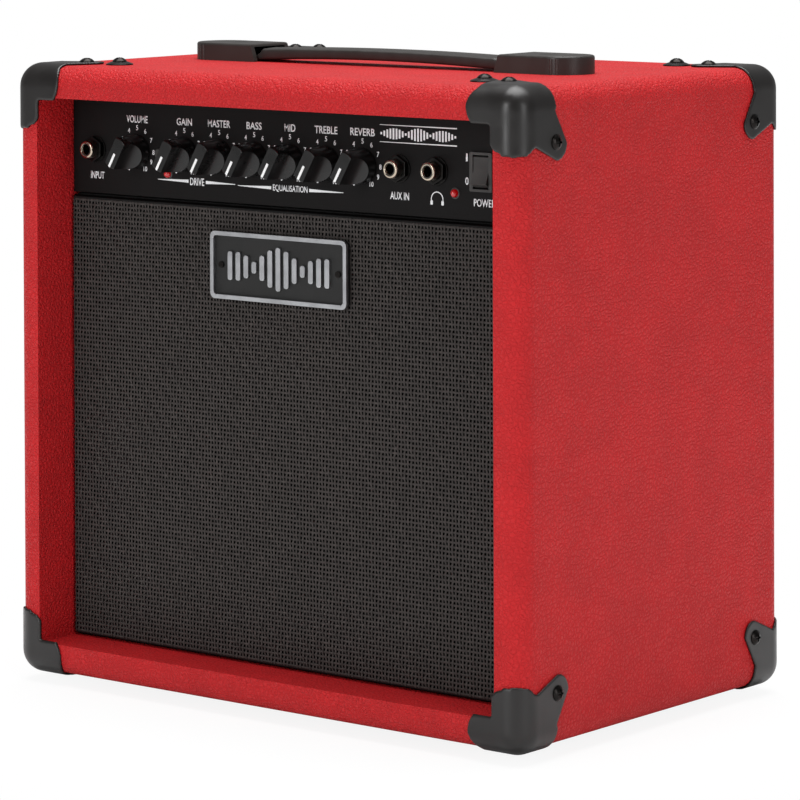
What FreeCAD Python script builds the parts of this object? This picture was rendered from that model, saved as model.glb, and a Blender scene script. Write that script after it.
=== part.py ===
"""Guitar practice amplifier with one 8-inch loudspeaker, in millimetres.

Frame: the origin is on the floor at the centre of the footprint. +X is to the right seen from
the front, +Y points to the back and +Z points up. The front of the cabinet faces -Y.
Each function below makes one named piece, or one group of identical pieces.
"""
import FreeCAD, Part
import math
import os

from FreeCAD import Vector as V

X_AXIS = V(1, 0, 0)
Y_AXIS = V(0, 1, 0)
Z_AXIS = V(0, 0, 1)

# ---- Cabinet
WIDTH = 392.0
DEPTH = 265.0
HEIGHT = 376.0  # without the feet
FOOT_HEIGHT = 6.0
WALL = 19.5  # board with its covering on both faces
VINYL = 0.75
EDGE_RADIUS = 13.0
GRILLE_RECESS = 29.5  # cabinet front to the face of the grille cloth
PANEL_RECESS = 32.5  # cabinet front to the face of the control panel
REAR_RECESS = 6.0
LINING_DEPTH = 40.0  # how far the covering is folded into the front recess
REAR_LINING_DEPTH = 12.0

HALF_W = WIDTH / 2
FRONT = -DEPTH / 2
BACK = DEPTH / 2
BOTTOM = FOOT_HEIGHT
TOP = BOTTOM + HEIGHT
INNER_X = HALF_W - WALL
INNER_BOTTOM = BOTTOM + WALL
INNER_TOP = TOP - WALL
BOARD_INNER_X = INNER_X + VINYL
BOARD_INNER_BOTTOM = INNER_BOTTOM - VINYL
BOARD_INNER_TOP = INNER_TOP + VINYL

# ---- Front: control panel above the grille
PANEL_FRONT = FRONT + PANEL_RECESS
PANEL_THICKNESS = 1.2
PANEL_HEIGHT = 60.1
PANEL_GAP = 0.3
PANEL_TOP = INNER_TOP - PANEL_GAP
PANEL_BOTTOM = PANEL_TOP - PANEL_HEIGHT
CLOTH_FRONT = FRONT + GRILLE_RECESS
CLOTH = 0.8
GRILLE_FRAME_THICKNESS = 6.0
GRILLE_GAP = 0.7
GRILLE_HALF_W = INNER_X - GRILLE_GAP
GRILLE_BOTTOM = INNER_BOTTOM + GRILLE_GAP
GRILLE_TOP = PANEL_BOTTOM - 1.5
BAFFLE_FRONT = CLOTH_FRONT + CLOTH + GRILLE_FRAME_THICKNESS
BAFFLE_THICKNESS = 15.0
BAFFLE_BACK = BAFFLE_FRONT + BAFFLE_THICKNESS

# ---- Rear panels
REAR_PANEL_THICKNESS = 9.0
REAR_PANEL_HALF_W = INNER_X - 1.0
REAR_LOWER_TOP = BOTTOM + 122.0
REAR_UPPER_BOTTOM = BOTTOM + 214.0
REAR_UPPER_TOP = PANEL_BOTTOM - 1.0
CLEAT_TOP = PANEL_BOTTOM - 2.0

# ---- Chassis
SHEET = 1.2
TRAY_FRONT = PANEL_FRONT + PANEL_THICKNESS
TRAY_BACK = BACK - 14.0
TRAY_TOP = INNER_TOP
TRAY_FLANGE = 22.0
CONTROL_Z = BOTTOM + 323.6  # height of the row of controls
KNOB_X = {
    "volume": -122.6,
    "gain": -83.8,
    "master": -55.7,
    "bass": -27.8,
    "middle": 0.3,
    "treble": 28.2,
    "reverb": 56.0,
}
JACK_X = {"input": -157.0, "aux": 83.7, "phones": 111.4}
LED_PLACES = [(-97.0, BOTTOM + 311.3), (124.6, BOTTOM + 311.3)]
DRIVE_BUTTON_X = -100.5
ROCKER_X = 144.2
ROCKER_Z = BOTTOM + 324.4
FOOTSWITCH_X = 110.0
INLET_X = -118.0
REAR_CONTROL_Z = BOTTOM + 327.0

# ---- Rotary controls
KNOB_RADIUS = 10.5
KNOB_HEIGHT = 20.5
KNOB_PANEL_GAP = 0.8
GRIP_WIDTH = 8.0
SCOOP_RADIUS = 12.0  # hollow on each side of the grip
SCOOP_HEIGHT = 16.5
SHAFT_RADIUS = 3.0
RUNNING_GAP = 0.05
BUSHING_RADIUS = 4.75
BUSHING_LENGTH = 5.0
NUT_ACROSS_FLATS = 14.0
NUT_THICKNESS = 2.4
POT_RADIUS = 8.0
POT_DEPTH = 9.0
POT_REST_ANGLE = -150.0  # pointer at the lowest mark, measured from straight up

# ---- Jacks
PLUG_BORE_RADIUS = 3.25
JACK_RING_RADIUS = 5.1
JACK_PROUD = 9.5
JACK_BORE_LENGTH = 33.0
JACK_BODY_DEPTH = 26.0
JACK_WASHER = 1.0
JACK_NUT = 3.0

# ---- Lamps and the drive switch
LED_RADIUS = 2.5
DRIVE_BUTTON_RADIUS = 3.1
DRIVE_TRAVEL = 2.5

# ---- Rocker switch
ROCKER_BEZEL = (16.2, 22.7, 1.6)  # width, height and how far it stands proud
ROCKER_BODY = (14.0, 21.2, 20.0)
ROCKER_RADIUS = 9.6
ROCKER_WIDTH = 11.0
ROCKER_TILT = 10.0
ROCKER_PIVOT_DEPTH = 3.2  # pivot behind the face of the panel

# ---- Electronics in the tray
TRAY_FLOOR = PANEL_BOTTOM + 0.5 + SHEET
INLET_Z0 = BOTTOM + 313.0
INLET_Z1 = BOTTOM + 336.0
BOARD_Y0 = TRAY_FRONT + SHEET + POT_DEPTH + 6
MAIN_BOARD_Z = TRAY_FLOOR + 7
MAIN_BOARD = (-10.0, 140.0, -60.0, 66.0)  # x and y extent
PCB = 1.6
AMP_CHIP_Y = 30.0

# ---- Loudspeaker, placed by its distance s behind the baffle
SPEAKER_Z = BOTTOM + 153.0
SPEAKER_HOLE_RADIUS = 91.5
FLANGE_RADIUS = 101.5
SPEAKER_SCREW_RADIUS = 97.0
CONE_RADIUS = 80.0
COIL_RADIUS = 13.3
POLE_RADIUS = 12.0
GAP_RADIUS = 13.9
SPEAKER_CENTRE = V(0, BAFFLE_BACK, SPEAKER_Z)

# ---- Screws
SCREW_HEAD_RADIUS = 4.6
SCREW_HEAD_HEIGHT = 2.5
SCREW_RADIUS = 1.75
CORNER_SCREW_INSET = 32.0
EAR_INSET = 32.4  # centre of a protector's ear, a little beyond its screw
EAR_RADIUS = 10.6
EAR_SHOULDER = 32.6  # how far a protector reaches over the rounded edge between its two ears
PROTECTOR = 1.5  # thickness of a corner protector
PROTECTOR_LIP = 1.0  # how far it turns into the recess
PROTECTOR_WRAP = 7.0  # how far its front arms run back over the rounded outer edges
CHASSIS_SCREW_X = HALF_W - 54.0
CHASSIS_SCREW_Y = (FRONT + 38.0, BACK - 34.0)
CUP_WASHER_RADIUS = 8.5
FOOT_RADIUS = 15.0
FOOT_INSET = 58.0

# ---- Handle
HANDLE_LENGTH = 302.0
HANDLE_Y = -5.0  # set a little forward, over the weight of the loudspeaker
CAP_WIDTH = 36.0
CAP_STRAIGHT = 39.0
CAP_HEIGHT = 11.0
CAP_FILLET = 1.5
CAP_MOUTH_SLANT = 3.5  # how far the top of the mouth lies behind its foot
CAP_RIB = 1.3
STRAP_WIDTH = 26.0
CAP_SOLID_X = HANDLE_LENGTH / 2 - CAP_WIDTH / 2  # centre of the round end
CAP_POCKET_HALF_W = 14.6
CAP_POCKET_TOP = 9.2
TONGUE = 3.0
TONGUE_BOTTOM = 1.0
TONGUE_END_X = 122.0
STRAP_SHOULDER = 7.6  # thickness of the strap where it meets the caps
STRAP_ARCH = 2.4  # rise of its underside in the middle
STRAP_CREST = 9.2  # top in the middle, above the underside at the ends
CAP_INNER_X = CAP_SOLID_X - CAP_STRAIGHT

# ---- Badge on the grille
BADGE_X = -4.0
BADGE_Z = BOTTOM + 259.2
BADGE_WIDTH = 106.0
BADGE_HEIGHT = 40.6
BADGE_RIM = 2.5
BADGE_BARS = 13
BADGE_BAR_PITCH = 6.3
BADGE_BAR_WIDTH = 3.6
BADGE_RADIUS = 3.5
BADGE_BACK = CLOTH_FRONT
BADGE_PLATE_THICKNESS = 2.2
BADGE_RIM_PROUD = 2.0
BADGE_RIVET_X = BADGE_WIDTH / 2 - 7.5
BADGE_RIVET_RADIUS = 1.3


# ---------------------------------------------------------------- helpers
def box(x0, x1, y0, y1, z0, z1):
    return Part.makeBox(x1 - x0, y1 - y0, z1 - z0, V(x0, y0, z0))


def rod(start, direction, radius, length):
    return Part.makeCylinder(radius, length, start, direction)


def fuse(shapes):
    whole = shapes[0]
    for shape in shapes[1:]:
        whole = whole.fuse(shape)
    return whole.removeSplitter()


def cut_all(shape, tools):
    for tool in tools:
        shape = shape.cut(tool)
    return shape


def mirrored_x(shape):
    return shape.mirror(V(0, 0, 0), X_AXIS)


def prism(points, direction):
    """A solid swept along direction from the flat outline through points."""
    face = Part.Face(Part.makePolygon([V(*point) for point in points + points[:1]]))
    return face.extrude(direction)


def revolved(profile, centre):
    """A ring about an axis along +Y: profile holds (radius, depth) corners, in order."""
    corners = [V(radius, depth, 0) for radius, depth in profile + profile[:1]]
    face = Part.Face(Part.makePolygon(corners))
    ring = face.revolve(V(0, 0, 0), Y_AXIS, 360)
    ring.translate(centre)
    return ring


def hex_prism(centre, direction, across_flats, length):
    """A hexagonal bar that starts at centre and runs along Y."""
    corner_radius = across_flats / math.sqrt(3)
    corners = []
    for corner in range(6):
        angle = math.radians(60 * corner + 30)
        x = centre.x + corner_radius * math.cos(angle)
        z = centre.z + corner_radius * math.sin(angle)
        corners.append((x, centre.y, z))
    return prism(corners, direction * length)


def rounded_plate(centre_x, centre_z, width, height, radius, y0, y1):
    """A plate facing -Y with round corners."""
    plate = box(
        centre_x - width / 2, centre_x + width / 2, y0, y1, centre_z - height / 2, centre_z + height / 2
    )
    upright = [edge for edge in plate.Edges if abs(edge.tangentAt(edge.FirstParameter).y) > 0.99]
    return plate.makeFillet(radius, upright)


def pan_screw(seat, direction, shank_length, radius=SCREW_RADIUS, head=SCREW_HEAD_RADIUS):
    """A domed screw whose head sits on seat; its shank points along direction."""
    height = SCREW_HEAD_HEIGHT
    straight = 0.4
    dome = height - straight
    ball = (head * head + dome * dome) / (2 * dome)
    cap = Part.makeCylinder(head, height, V(0, 0, 0), Z_AXIS)
    cap = cap.common(Part.makeSphere(ball, V(0, 0, height - ball)))
    slot = head * 0.55
    width = head * 0.14
    for half_x, half_y in ((slot, width), (width, slot)):
        cap = cap.cut(box(-half_x, half_x, -half_y, half_y, height * 0.45, height + 1))
    screw = cap.fuse(Part.makeCylinder(radius, shank_length, V(0, 0, 0), V(0, 0, -1)))
    screw.Placement = FreeCAD.Placement(seat, FreeCAD.Rotation(Z_AXIS, direction * -1))
    return screw.removeSplitter()


def write(name, shape):
    shape.exportStep(os.path.join("parts", name + ".step"))


# ---------------------------------------------------------------- cabinet
def rounded_block(inset):
    """The outside of the cabinet, moved inward by inset."""
    block = box(
        -HALF_W + inset, HALF_W - inset, FRONT + inset, BACK - inset, BOTTOM + inset, TOP - inset
    )
    return block.makeFillet(EDGE_RADIUS - inset, block.Edges)


def board_ring():
    cavity = box(
        -BOARD_INNER_X, BOARD_INNER_X, FRONT - 1, BACK + 1, BOARD_INNER_BOTTOM, BOARD_INNER_TOP
    )
    return rounded_block(VINYL).cut(cavity)


def side_panel_right(ring):
    return ring.common(box(BOARD_INNER_X, HALF_W, FRONT, BACK, BOTTOM, TOP))


def top_panel(ring):
    return ring.common(box(-BOARD_INNER_X, BOARD_INNER_X, FRONT, BACK, BOARD_INNER_TOP, TOP))


def bottom_panel(ring):
    return ring.common(box(-BOARD_INNER_X, BOARD_INNER_X, FRONT, BACK, BOTTOM, BOARD_INNER_BOTTOM))


def lining(y0, y1):
    """Covering folded onto the inner faces of the four boards, between two depths."""
    outside = box(-BOARD_INNER_X, BOARD_INNER_X, y0, y1, BOARD_INNER_BOTTOM, BOARD_INNER_TOP)
    return outside.cut(box(-INNER_X, INNER_X, y0 - 1, y1 + 1, INNER_BOTTOM, INNER_TOP))


def vinyl_covering():
    """One skin over the outside, folded over both rims into the openings."""
    cavity = box(
        -BOARD_INNER_X, BOARD_INNER_X, FRONT - 1, BACK + 1, BOARD_INNER_BOTTOM, BOARD_INNER_TOP
    )
    skin = rounded_block(0).cut(rounded_block(VINYL)).cut(cavity)
    return fuse([skin, lining(FRONT, FRONT + LINING_DEPTH), lining(BACK - REAR_LINING_DEPTH, BACK)])


def panel_cleats():
    """Four upright strips glued inside: two behind the baffle, two in front of the rear panels."""
    strip = 18.0
    rear = BACK - REAR_RECESS - REAR_PANEL_THICKNESS
    strips = []
    for y0 in (BAFFLE_BACK, rear - strip):
        cleat = box(BOARD_INNER_X - strip, BOARD_INNER_X, y0, y0 + strip, BOARD_INNER_BOTTOM, CLEAT_TOP)
        strips += [cleat, mirrored_x(cleat)]
    return Part.makeCompound(strips)


def baffle_board():
    half_width = BOARD_INNER_X - VINYL
    board = box(
        -half_width, half_width, BAFFLE_FRONT, BAFFLE_BACK, INNER_BOTTOM, PANEL_BOTTOM - 1
    )
    return board.cut(rod(V(0, BAFFLE_FRONT - 1, SPEAKER_Z), Y_AXIS, SPEAKER_HOLE_RADIUS, BAFFLE_THICKNESS + 2))


def grille_frame():
    half_width = GRILLE_HALF_W - CLOTH
    board = box(
        -half_width, half_width, CLOTH_FRONT + CLOTH, BAFFLE_FRONT, GRILLE_BOTTOM + CLOTH, GRILLE_TOP - CLOTH
    )
    upright_and_level = [edge for edge in board.Edges if abs(edge.CenterOfMass.y - CLOTH_FRONT - CLOTH) < 0.01]
    board = board.makeFillet(1.5, upright_and_level)
    return board.cut(rod(V(0, CLOTH_FRONT - 1, SPEAKER_Z), Y_AXIS, SPEAKER_HOLE_RADIUS + 3, 20))


def grille_cloth():
    """A tray of cloth pulled over the front and the edges of the grille frame."""
    sheet = box(
        -GRILLE_HALF_W, GRILLE_HALF_W, CLOTH_FRONT, BAFFLE_FRONT, GRILLE_BOTTOM, GRILLE_TOP
    )
    front_edges = [edge for edge in sheet.Edges if abs(edge.CenterOfMass.y - CLOTH_FRONT) < 0.01]
    sheet = sheet.makeFillet(1.5 + CLOTH, front_edges)
    half_width = GRILLE_HALF_W - CLOTH
    inside = box(
        -half_width, half_width, CLOTH_FRONT + CLOTH, BAFFLE_FRONT + 1,
        GRILLE_BOTTOM + CLOTH, GRILLE_TOP - CLOTH,
    )
    front_edges = [edge for edge in inside.Edges if abs(edge.CenterOfMass.y - CLOTH_FRONT - CLOTH) < 0.01]
    return sheet.cut(inside.makeFillet(1.5, front_edges))


# ---------------------------------------------------------------- badge
def badge_rivets():
    rivets = []
    for side in (-1, 1):
        x = BADGE_X + side * BADGE_RIVET_X
        face = BADGE_BACK - BADGE_PLATE_THICKNESS
        head = rod(V(x, face - 0.8, BADGE_Z), Y_AXIS, 2.0, 0.8)
        shank = rod(V(x, face, BADGE_Z), Y_AXIS, BADGE_RIVET_RADIUS, BADGE_PLATE_THICKNESS + 8)
        rivets.append(head.fuse(shank).removeSplitter())
    return Part.makeCompound(rivets)


def badge_plate():
    return rounded_plate(
        BADGE_X, BADGE_Z, BADGE_WIDTH - 1, BADGE_HEIGHT - 1, BADGE_RADIUS,
        BADGE_BACK - BADGE_PLATE_THICKNESS, BADGE_BACK,
    )


def badge_trim():
    """A raised rim round the plate and a row of upright bars whose tops follow a wave."""
    y0 = BADGE_BACK - BADGE_PLATE_THICKNESS - BADGE_RIM_PROUD
    y1 = BADGE_BACK - BADGE_PLATE_THICKNESS
    rim = rounded_plate(BADGE_X, BADGE_Z, BADGE_WIDTH, BADGE_HEIGHT, BADGE_RADIUS, y0, y1)
    window = rounded_plate(
        BADGE_X, BADGE_Z, BADGE_WIDTH - 2 * BADGE_RIM, BADGE_HEIGHT - 2 * BADGE_RIM,
        BADGE_RADIUS * 0.6, y0 - 1, y1 + 1,
    )
    solids = [rim.cut(window)]
    shortest = 7.0
    swell = 19.0
    for index in range(BADGE_BARS):
        place = index - (BADGE_BARS - 1) / 2
        height = shortest + swell * abs(math.cos(place * math.pi / 6)) * (1 - abs(place) / BADGE_BARS)
        x = BADGE_X + place * BADGE_BAR_PITCH
        solids.append(rounded_plate(x, BADGE_Z, BADGE_BAR_WIDTH, height, 1.5, y0 + 0.6, y1))
    return Part.makeCompound(solids)


# ---------------------------------------------------------------- corner protectors
def cabinet_rim(offset):
    """The front part of the cabinet's walls, grown by offset on every face."""
    cavity = box(
        -INNER_X + offset, INNER_X - offset, FRONT - 10, BACK + 10,
        INNER_BOTTOM + offset, INNER_TOP - offset,
    )
    block = box(
        -HALF_W - offset, HALF_W + offset, FRONT - offset, BACK + offset, BOTTOM - offset, TOP + offset
    )
    return block.makeFillet(EDGE_RADIUS + offset, block.Edges).cut(cavity)


def ear_outline(place, notch_drop, near_drop, end_drop):
    """The outline on a side or top face: a flange at the edge and a round ear at the screw.

    place turns (distance from the front, distance from the other edge) into a point. The flange
    ends notch_drop from the other edge beside the ear, then near_drop, and end_drop at the front.
    """
    screw = EAR_INSET
    ear = EAR_RADIUS
    shoulder = V(*place(EAR_SHOULDER, 10.5))
    step = V(*place(EAR_SHOULDER - 2.4, 12.0))
    outer = V(*place(screw + ear * 0.97, screw + 0.5))
    low = V(*place(screw + 0.5, screw + ear * 0.97))
    notch = V(*place(12.5, notch_drop))
    near_end = V(*place(PROTECTOR_WRAP, near_drop))
    end = V(*place(-4, end_drop))
    middle = V(*place(screw + ear * 0.69, screw + ear * 0.69))
    edges = [
        Part.LineSegment(V(*place(-4, -4)), V(*place(EAR_SHOULDER, -4))).toShape(),
        Part.LineSegment(V(*place(EAR_SHOULDER, -4)), shoulder).toShape(),
        Part.LineSegment(shoulder, step).toShape(),
        Part.LineSegment(step, outer).toShape(),
        Part.Arc(outer, middle, low).toShape(),
        Part.LineSegment(low, notch).toShape(),
        Part.LineSegment(notch, near_end).toShape(),
        Part.LineSegment(near_end, end).toShape(),
        Part.LineSegment(end, V(*place(-4, -4))).toShape(),
    ]
    return Part.Face(Part.Wire(edges))


def front_outline():
    """The L on the front face: a level arm with a round end and an upright arm with a blunt point."""
    right = HALF_W + 4
    top = TOP + 4
    inner = 22.0

    def at(from_side, from_top):
        return V(HALF_W - from_side, FRONT - 4, TOP - from_top)

    edges = [
        Part.LineSegment(V(right, FRONT - 4, top), V(HALF_W - 33, FRONT - 4, top)).toShape(),
        Part.LineSegment(V(HALF_W - 33, FRONT - 4, top), at(33, 0)).toShape(),
        Part.Arc(at(33, 0), at(38.0, 11), at(31, 23.5)).toShape(),
        Part.LineSegment(at(31, 23.5), at(inner, 23.5)).toShape(),
        Part.LineSegment(at(inner, 23.5), at(inner, 31.5)).toShape(),
        Part.LineSegment(at(inner, 31.5), at(18, 36)).toShape(),
        Part.LineSegment(at(18, 36), at(6.5, 39.5)).toShape(),
        Part.LineSegment(at(6.5, 39.5), V(right, FRONT - 4, TOP - 38.0)).toShape(),
        Part.LineSegment(V(right, FRONT - 4, TOP - 38.0), V(right, FRONT - 4, top)).toShape(),
    ]
    return Part.Face(Part.Wire(edges))


def corner_protector():
    """The protector on the front top right corner: a moulded shell on three faces."""
    shell = cabinet_rim(PROTECTOR).cut(cabinet_rim(0))
    shell = shell.common(box(HALF_W - 50, HALF_W + 5, FRONT - 5, FRONT + 50, TOP - 50, TOP + 5))
    side = ear_outline(lambda depth, drop: (HALF_W - EDGE_RADIUS, FRONT + depth, TOP - drop), 34.0, 38.5, 39.0)
    side = side.extrude(X_AXIS * (EDGE_RADIUS + 5))
    top = ear_outline(lambda depth, drop: (HALF_W - drop, FRONT + depth, TOP - EDGE_RADIUS), 34.5, 34.0, 33.5)
    top = top.extrude(Z_AXIS * (EDGE_RADIUS + 5))
    front = front_outline().extrude(Y_AXIS * (4 + PROTECTOR_WRAP))
    recess = box(0, INNER_X + 1, FRONT + PROTECTOR_LIP, FRONT + 50, 0, INNER_TOP + 1)
    front = front.cut(recess)
    reach = side.fuse(top).fuse(front)
    return shell.common(reach).removeSplitter()


def corner_screw_pair():
    """The two screws of the protector on the front top right corner."""
    inset = CORNER_SCREW_INSET
    side = pan_screw(V(HALF_W + PROTECTOR, FRONT + inset, TOP - inset), V(-1, 0, 0), 16)
    top = pan_screw(V(HALF_W - inset, FRONT + inset, TOP + PROTECTOR), V(0, 0, -1), 16)
    return [side, top]


def mirrored_to_corners(shape, fronts):
    """Copies of a front top right shape at the other corners, mirrored in the cabinet's middle planes."""
    copies = []
    for to_left in (False, True):
        for to_bottom in (False, True):
            copy = shape if fronts else shape.mirror(V(0, 0, 0), Y_AXIS)
            if to_left:
                copy = copy.mirror(V(0, 0, 0), X_AXIS)
            if to_bottom:
                copy = copy.mirror(V(0, 0, (TOP + BOTTOM) / 2), Z_AXIS)
            copies.append(copy)
    return copies


# ---------------------------------------------------------------- handle
def handle_cap():
    """The right end cap: straight sides, a half-round end and a pocket open towards the strap.

    Its mouth leans back, two upright ribs stand on each side and the top is a little hollow.
    """
    half = CAP_WIDTH / 2
    ribs = []
    block = box(CAP_INNER_X, CAP_SOLID_X, -half, half, TOP, TOP + CAP_HEIGHT)
    block = block.fuse(rod(V(CAP_SOLID_X, 0, TOP), Z_AXIS, half, CAP_HEIGHT)).removeSplitter()
    for index in range(2):
        angle = math.radians(-80 + 12 * index)
        for side in (-1, 1):
            x = CAP_SOLID_X + (half - CAP_RIB / 2) * math.cos(angle)
            y = side * (half - CAP_RIB / 2) * math.sin(angle)
            rib = rod(V(x, y, TOP), Z_AXIS, CAP_RIB, CAP_HEIGHT - CAP_FILLET)
            ribs.append(rib)
    foot = CAP_INNER_X - 1
    slope = Part.makePolygon([
        V(foot, -half - 1, TOP + 1), V(foot + 1, -half - 1, TOP + 1),
        V(foot + 1 + CAP_MOUTH_SLANT, -half - 1, TOP + CAP_HEIGHT + 1),
        V(foot, -half - 1, TOP + CAP_HEIGHT + 1),
        V(foot, -half - 1, TOP + 1),
    ])
    block = block.cut(Part.Face(slope).extrude(Y_AXIS * (CAP_WIDTH + 2)))
    rim = [edge for edge in block.Edges if abs(edge.CenterOfMass.z - TOP - CAP_HEIGHT) < 0.01]
    block = block.makeFillet(CAP_FILLET, rim)
    pocket = box(
        CAP_INNER_X - 1, TONGUE_END_X + 1.5, -CAP_POCKET_HALF_W, CAP_POCKET_HALF_W, TOP, TOP + CAP_POCKET_TOP
    )
    block = block.cut(pocket)
    for rib in ribs:
        block = block.fuse(rib)
    dimple = Part.makeSphere(30, V(CAP_SOLID_X - 12, 0, TOP + CAP_HEIGHT + 29.3))
    cap = block.cut(dimple).removeSplitter()
    cap.translate(V(0, HANDLE_Y, 0))
    return cap


def handle_screws():
    """Two screws for each cap, driven upward through the top board."""
    screws = []
    for side in (-1, 1):
        for y in (HANDLE_Y - 8, HANDLE_Y + 8):
            x = side * (CAP_SOLID_X + 6)
            screws.append(pan_screw(V(x, y, BOARD_INNER_TOP), Z_AXIS, WALL - VINYL + 7))
    return screws


def handle_strap():
    """A flexible grip: thin tongues in the caps and a thick arched middle."""
    shoulder_x = CAP_INNER_X - 1.5
    low = TOP + TONGUE_BOTTOM

    def at(x, z):
        return V(x, HANDLE_Y - STRAP_WIDTH / 2, z)

    bottom_arc = Part.Arc(at(-shoulder_x, low), at(0, low + STRAP_ARCH), at(shoulder_x, low)).toShape()
    shoulder = low + STRAP_SHOULDER
    top_arc = Part.Arc(at(shoulder_x, shoulder), at(0, low + STRAP_CREST), at(-shoulder_x, shoulder)).toShape()
    corners = [
        at(shoulder_x, low), at(TONGUE_END_X, low), at(TONGUE_END_X, low + TONGUE),
        at(shoulder_x, low + TONGUE), at(shoulder_x, shoulder),
    ]
    right = [Part.LineSegment(a, b).toShape() for a, b in zip(corners, corners[1:])]
    flipped = [V(-corner.x, corner.y, corner.z) for corner in corners[::-1]]
    left = [Part.LineSegment(a, b).toShape() for a, b in zip(flipped, flipped[1:])]
    face = Part.Face(Part.Wire([bottom_arc] + right + [top_arc] + left))
    strap = face.extrude(Y_AXIS * STRAP_WIDTH)
    long_edges = [edge for edge in strap.Edges if edge.Length > 100]
    return strap.makeFillet(2.0, long_edges)


# ---------------------------------------------------------------- feet and rear panels
def rubber_feet():
    feet = []
    for x in (-HALF_W + FOOT_INSET, HALF_W - FOOT_INSET):
        for y in (FRONT + FOOT_INSET, BACK - FOOT_INSET):
            foot = Part.makeCone(FOOT_RADIUS - 1.5, FOOT_RADIUS, FOOT_HEIGHT, V(x, y, 0), Z_AXIS)
            feet.append(foot.cut(rod(V(x, y, -1), Z_AXIS, 5.0, 4.4)))
    return feet


def foot_screws():
    screws = []
    for x in (-HALF_W + FOOT_INSET, HALF_W - FOOT_INSET):
        for y in (FRONT + FOOT_INSET, BACK - FOOT_INSET):
            screws.append(pan_screw(V(x, y, 3.4), Z_AXIS, 16))
    return screws


def rear_panel(z0, z1):
    panel = box(
        -REAR_PANEL_HALF_W, REAR_PANEL_HALF_W,
        BACK - REAR_RECESS - REAR_PANEL_THICKNESS, BACK - REAR_RECESS, z0, z1,
    )
    outer = [edge for edge in panel.Edges if abs(edge.CenterOfMass.y - BACK + REAR_RECESS) < 0.01]
    return panel.makeFillet(2.0, outer)


def rear_panel_screws():
    screws = []
    for x in (-REAR_PANEL_HALF_W + 9, REAR_PANEL_HALF_W - 9):
        for z in (INNER_BOTTOM + 14, REAR_LOWER_TOP - 14, REAR_UPPER_BOTTOM + 14, REAR_UPPER_TOP - 14):
            screws.append(pan_screw(V(x, BACK - REAR_RECESS, z), V(0, -1, 0), 20))
    return screws


# ---------------------------------------------------------------- chassis
def panel_openings():
    """Tools that open the control panel and the tray behind it for every control."""
    y = PANEL_FRONT - 1
    length = 6.0
    tools = [rod(V(x, y, CONTROL_Z), Y_AXIS, BUSHING_RADIUS, length) for x in KNOB_X.values()]
    tools += [rod(V(x, y, CONTROL_Z), Y_AXIS, JACK_RING_RADIUS, length) for x in JACK_X.values()]
    tools += [rod(V(x, y, z), Y_AXIS, LED_RADIUS, length) for x, z in LED_PLACES]
    tools.append(rod(V(DRIVE_BUTTON_X, y, CONTROL_Z), Y_AXIS, DRIVE_BUTTON_RADIUS + 0.4, length))
    width, height, depth = ROCKER_BODY
    tools.append(
        box(
            ROCKER_X - width / 2, ROCKER_X + width / 2, y, y + length,
            ROCKER_Z - height / 2, ROCKER_Z + height / 2,
        )
    )
    return tools


def control_panel():
    half_width = INNER_X - PANEL_GAP
    plate = box(
        -half_width, half_width, PANEL_FRONT, TRAY_FRONT, PANEL_BOTTOM, PANEL_TOP
    )
    front_edges = [edge for edge in plate.Edges if abs(edge.CenterOfMass.y - PANEL_FRONT) < 0.01]
    return cut_all(plate.makeFillet(0.6, front_edges), panel_openings())


def chassis_tray():
    """A folded steel tray hung under the top board by flanges at its front and back."""
    half_width = INNER_X - 1.5
    outside = box(-half_width, half_width, TRAY_FRONT, TRAY_BACK, PANEL_BOTTOM + 0.5, TRAY_TOP)
    inside = box(
        -half_width + SHEET, half_width - SHEET, TRAY_FRONT + SHEET, TRAY_BACK - SHEET,
        PANEL_BOTTOM + 0.5 + SHEET, TRAY_TOP + 1,
    )
    tray = outside.cut(inside)
    for y0 in (TRAY_FRONT, TRAY_BACK - TRAY_FLANGE):
        tray = tray.fuse(box(-half_width, half_width, y0, y0 + TRAY_FLANGE, TRAY_TOP - SHEET, TRAY_TOP))
    tools = panel_openings()
    tools += [rod(V(FOOTSWITCH_X, TRAY_BACK - 5, REAR_CONTROL_Z), Y_AXIS, JACK_RING_RADIUS, 6)]
    tools += [box(INLET_X - 13.6, INLET_X + 13.6, TRAY_BACK - 5, TRAY_BACK + 1, INLET_Z0, INLET_Z1)]
    return cut_all(tray.removeSplitter(), tools)


def cup_washer(x, y):
    """A dished washer: flat rim, with a cone under the screw head."""
    profile = [
        (2.1, 0.0), (CUP_WASHER_RADIUS, 0.0), (CUP_WASHER_RADIUS, 0.7), (4.6, 2.2), (2.1, 2.2),
    ]
    corners = [V(radius, 0, height) for radius, height in profile + profile[:1]]
    ring = Part.Face(Part.makePolygon(corners)).revolve(V(0, 0, 0), Z_AXIS, 360)
    ring.translate(V(x, y, TOP))
    return ring


def chassis_screw_places():
    return [(side * CHASSIS_SCREW_X, y) for side in (-1, 1) for y in CHASSIS_SCREW_Y]


def chassis_screws():
    length = 2.2 + WALL - VINYL + 8
    return [pan_screw(V(x, y, TOP + 2.2), V(0, 0, -1), length, 2.1, 4.4) for x, y in chassis_screw_places()]


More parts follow.
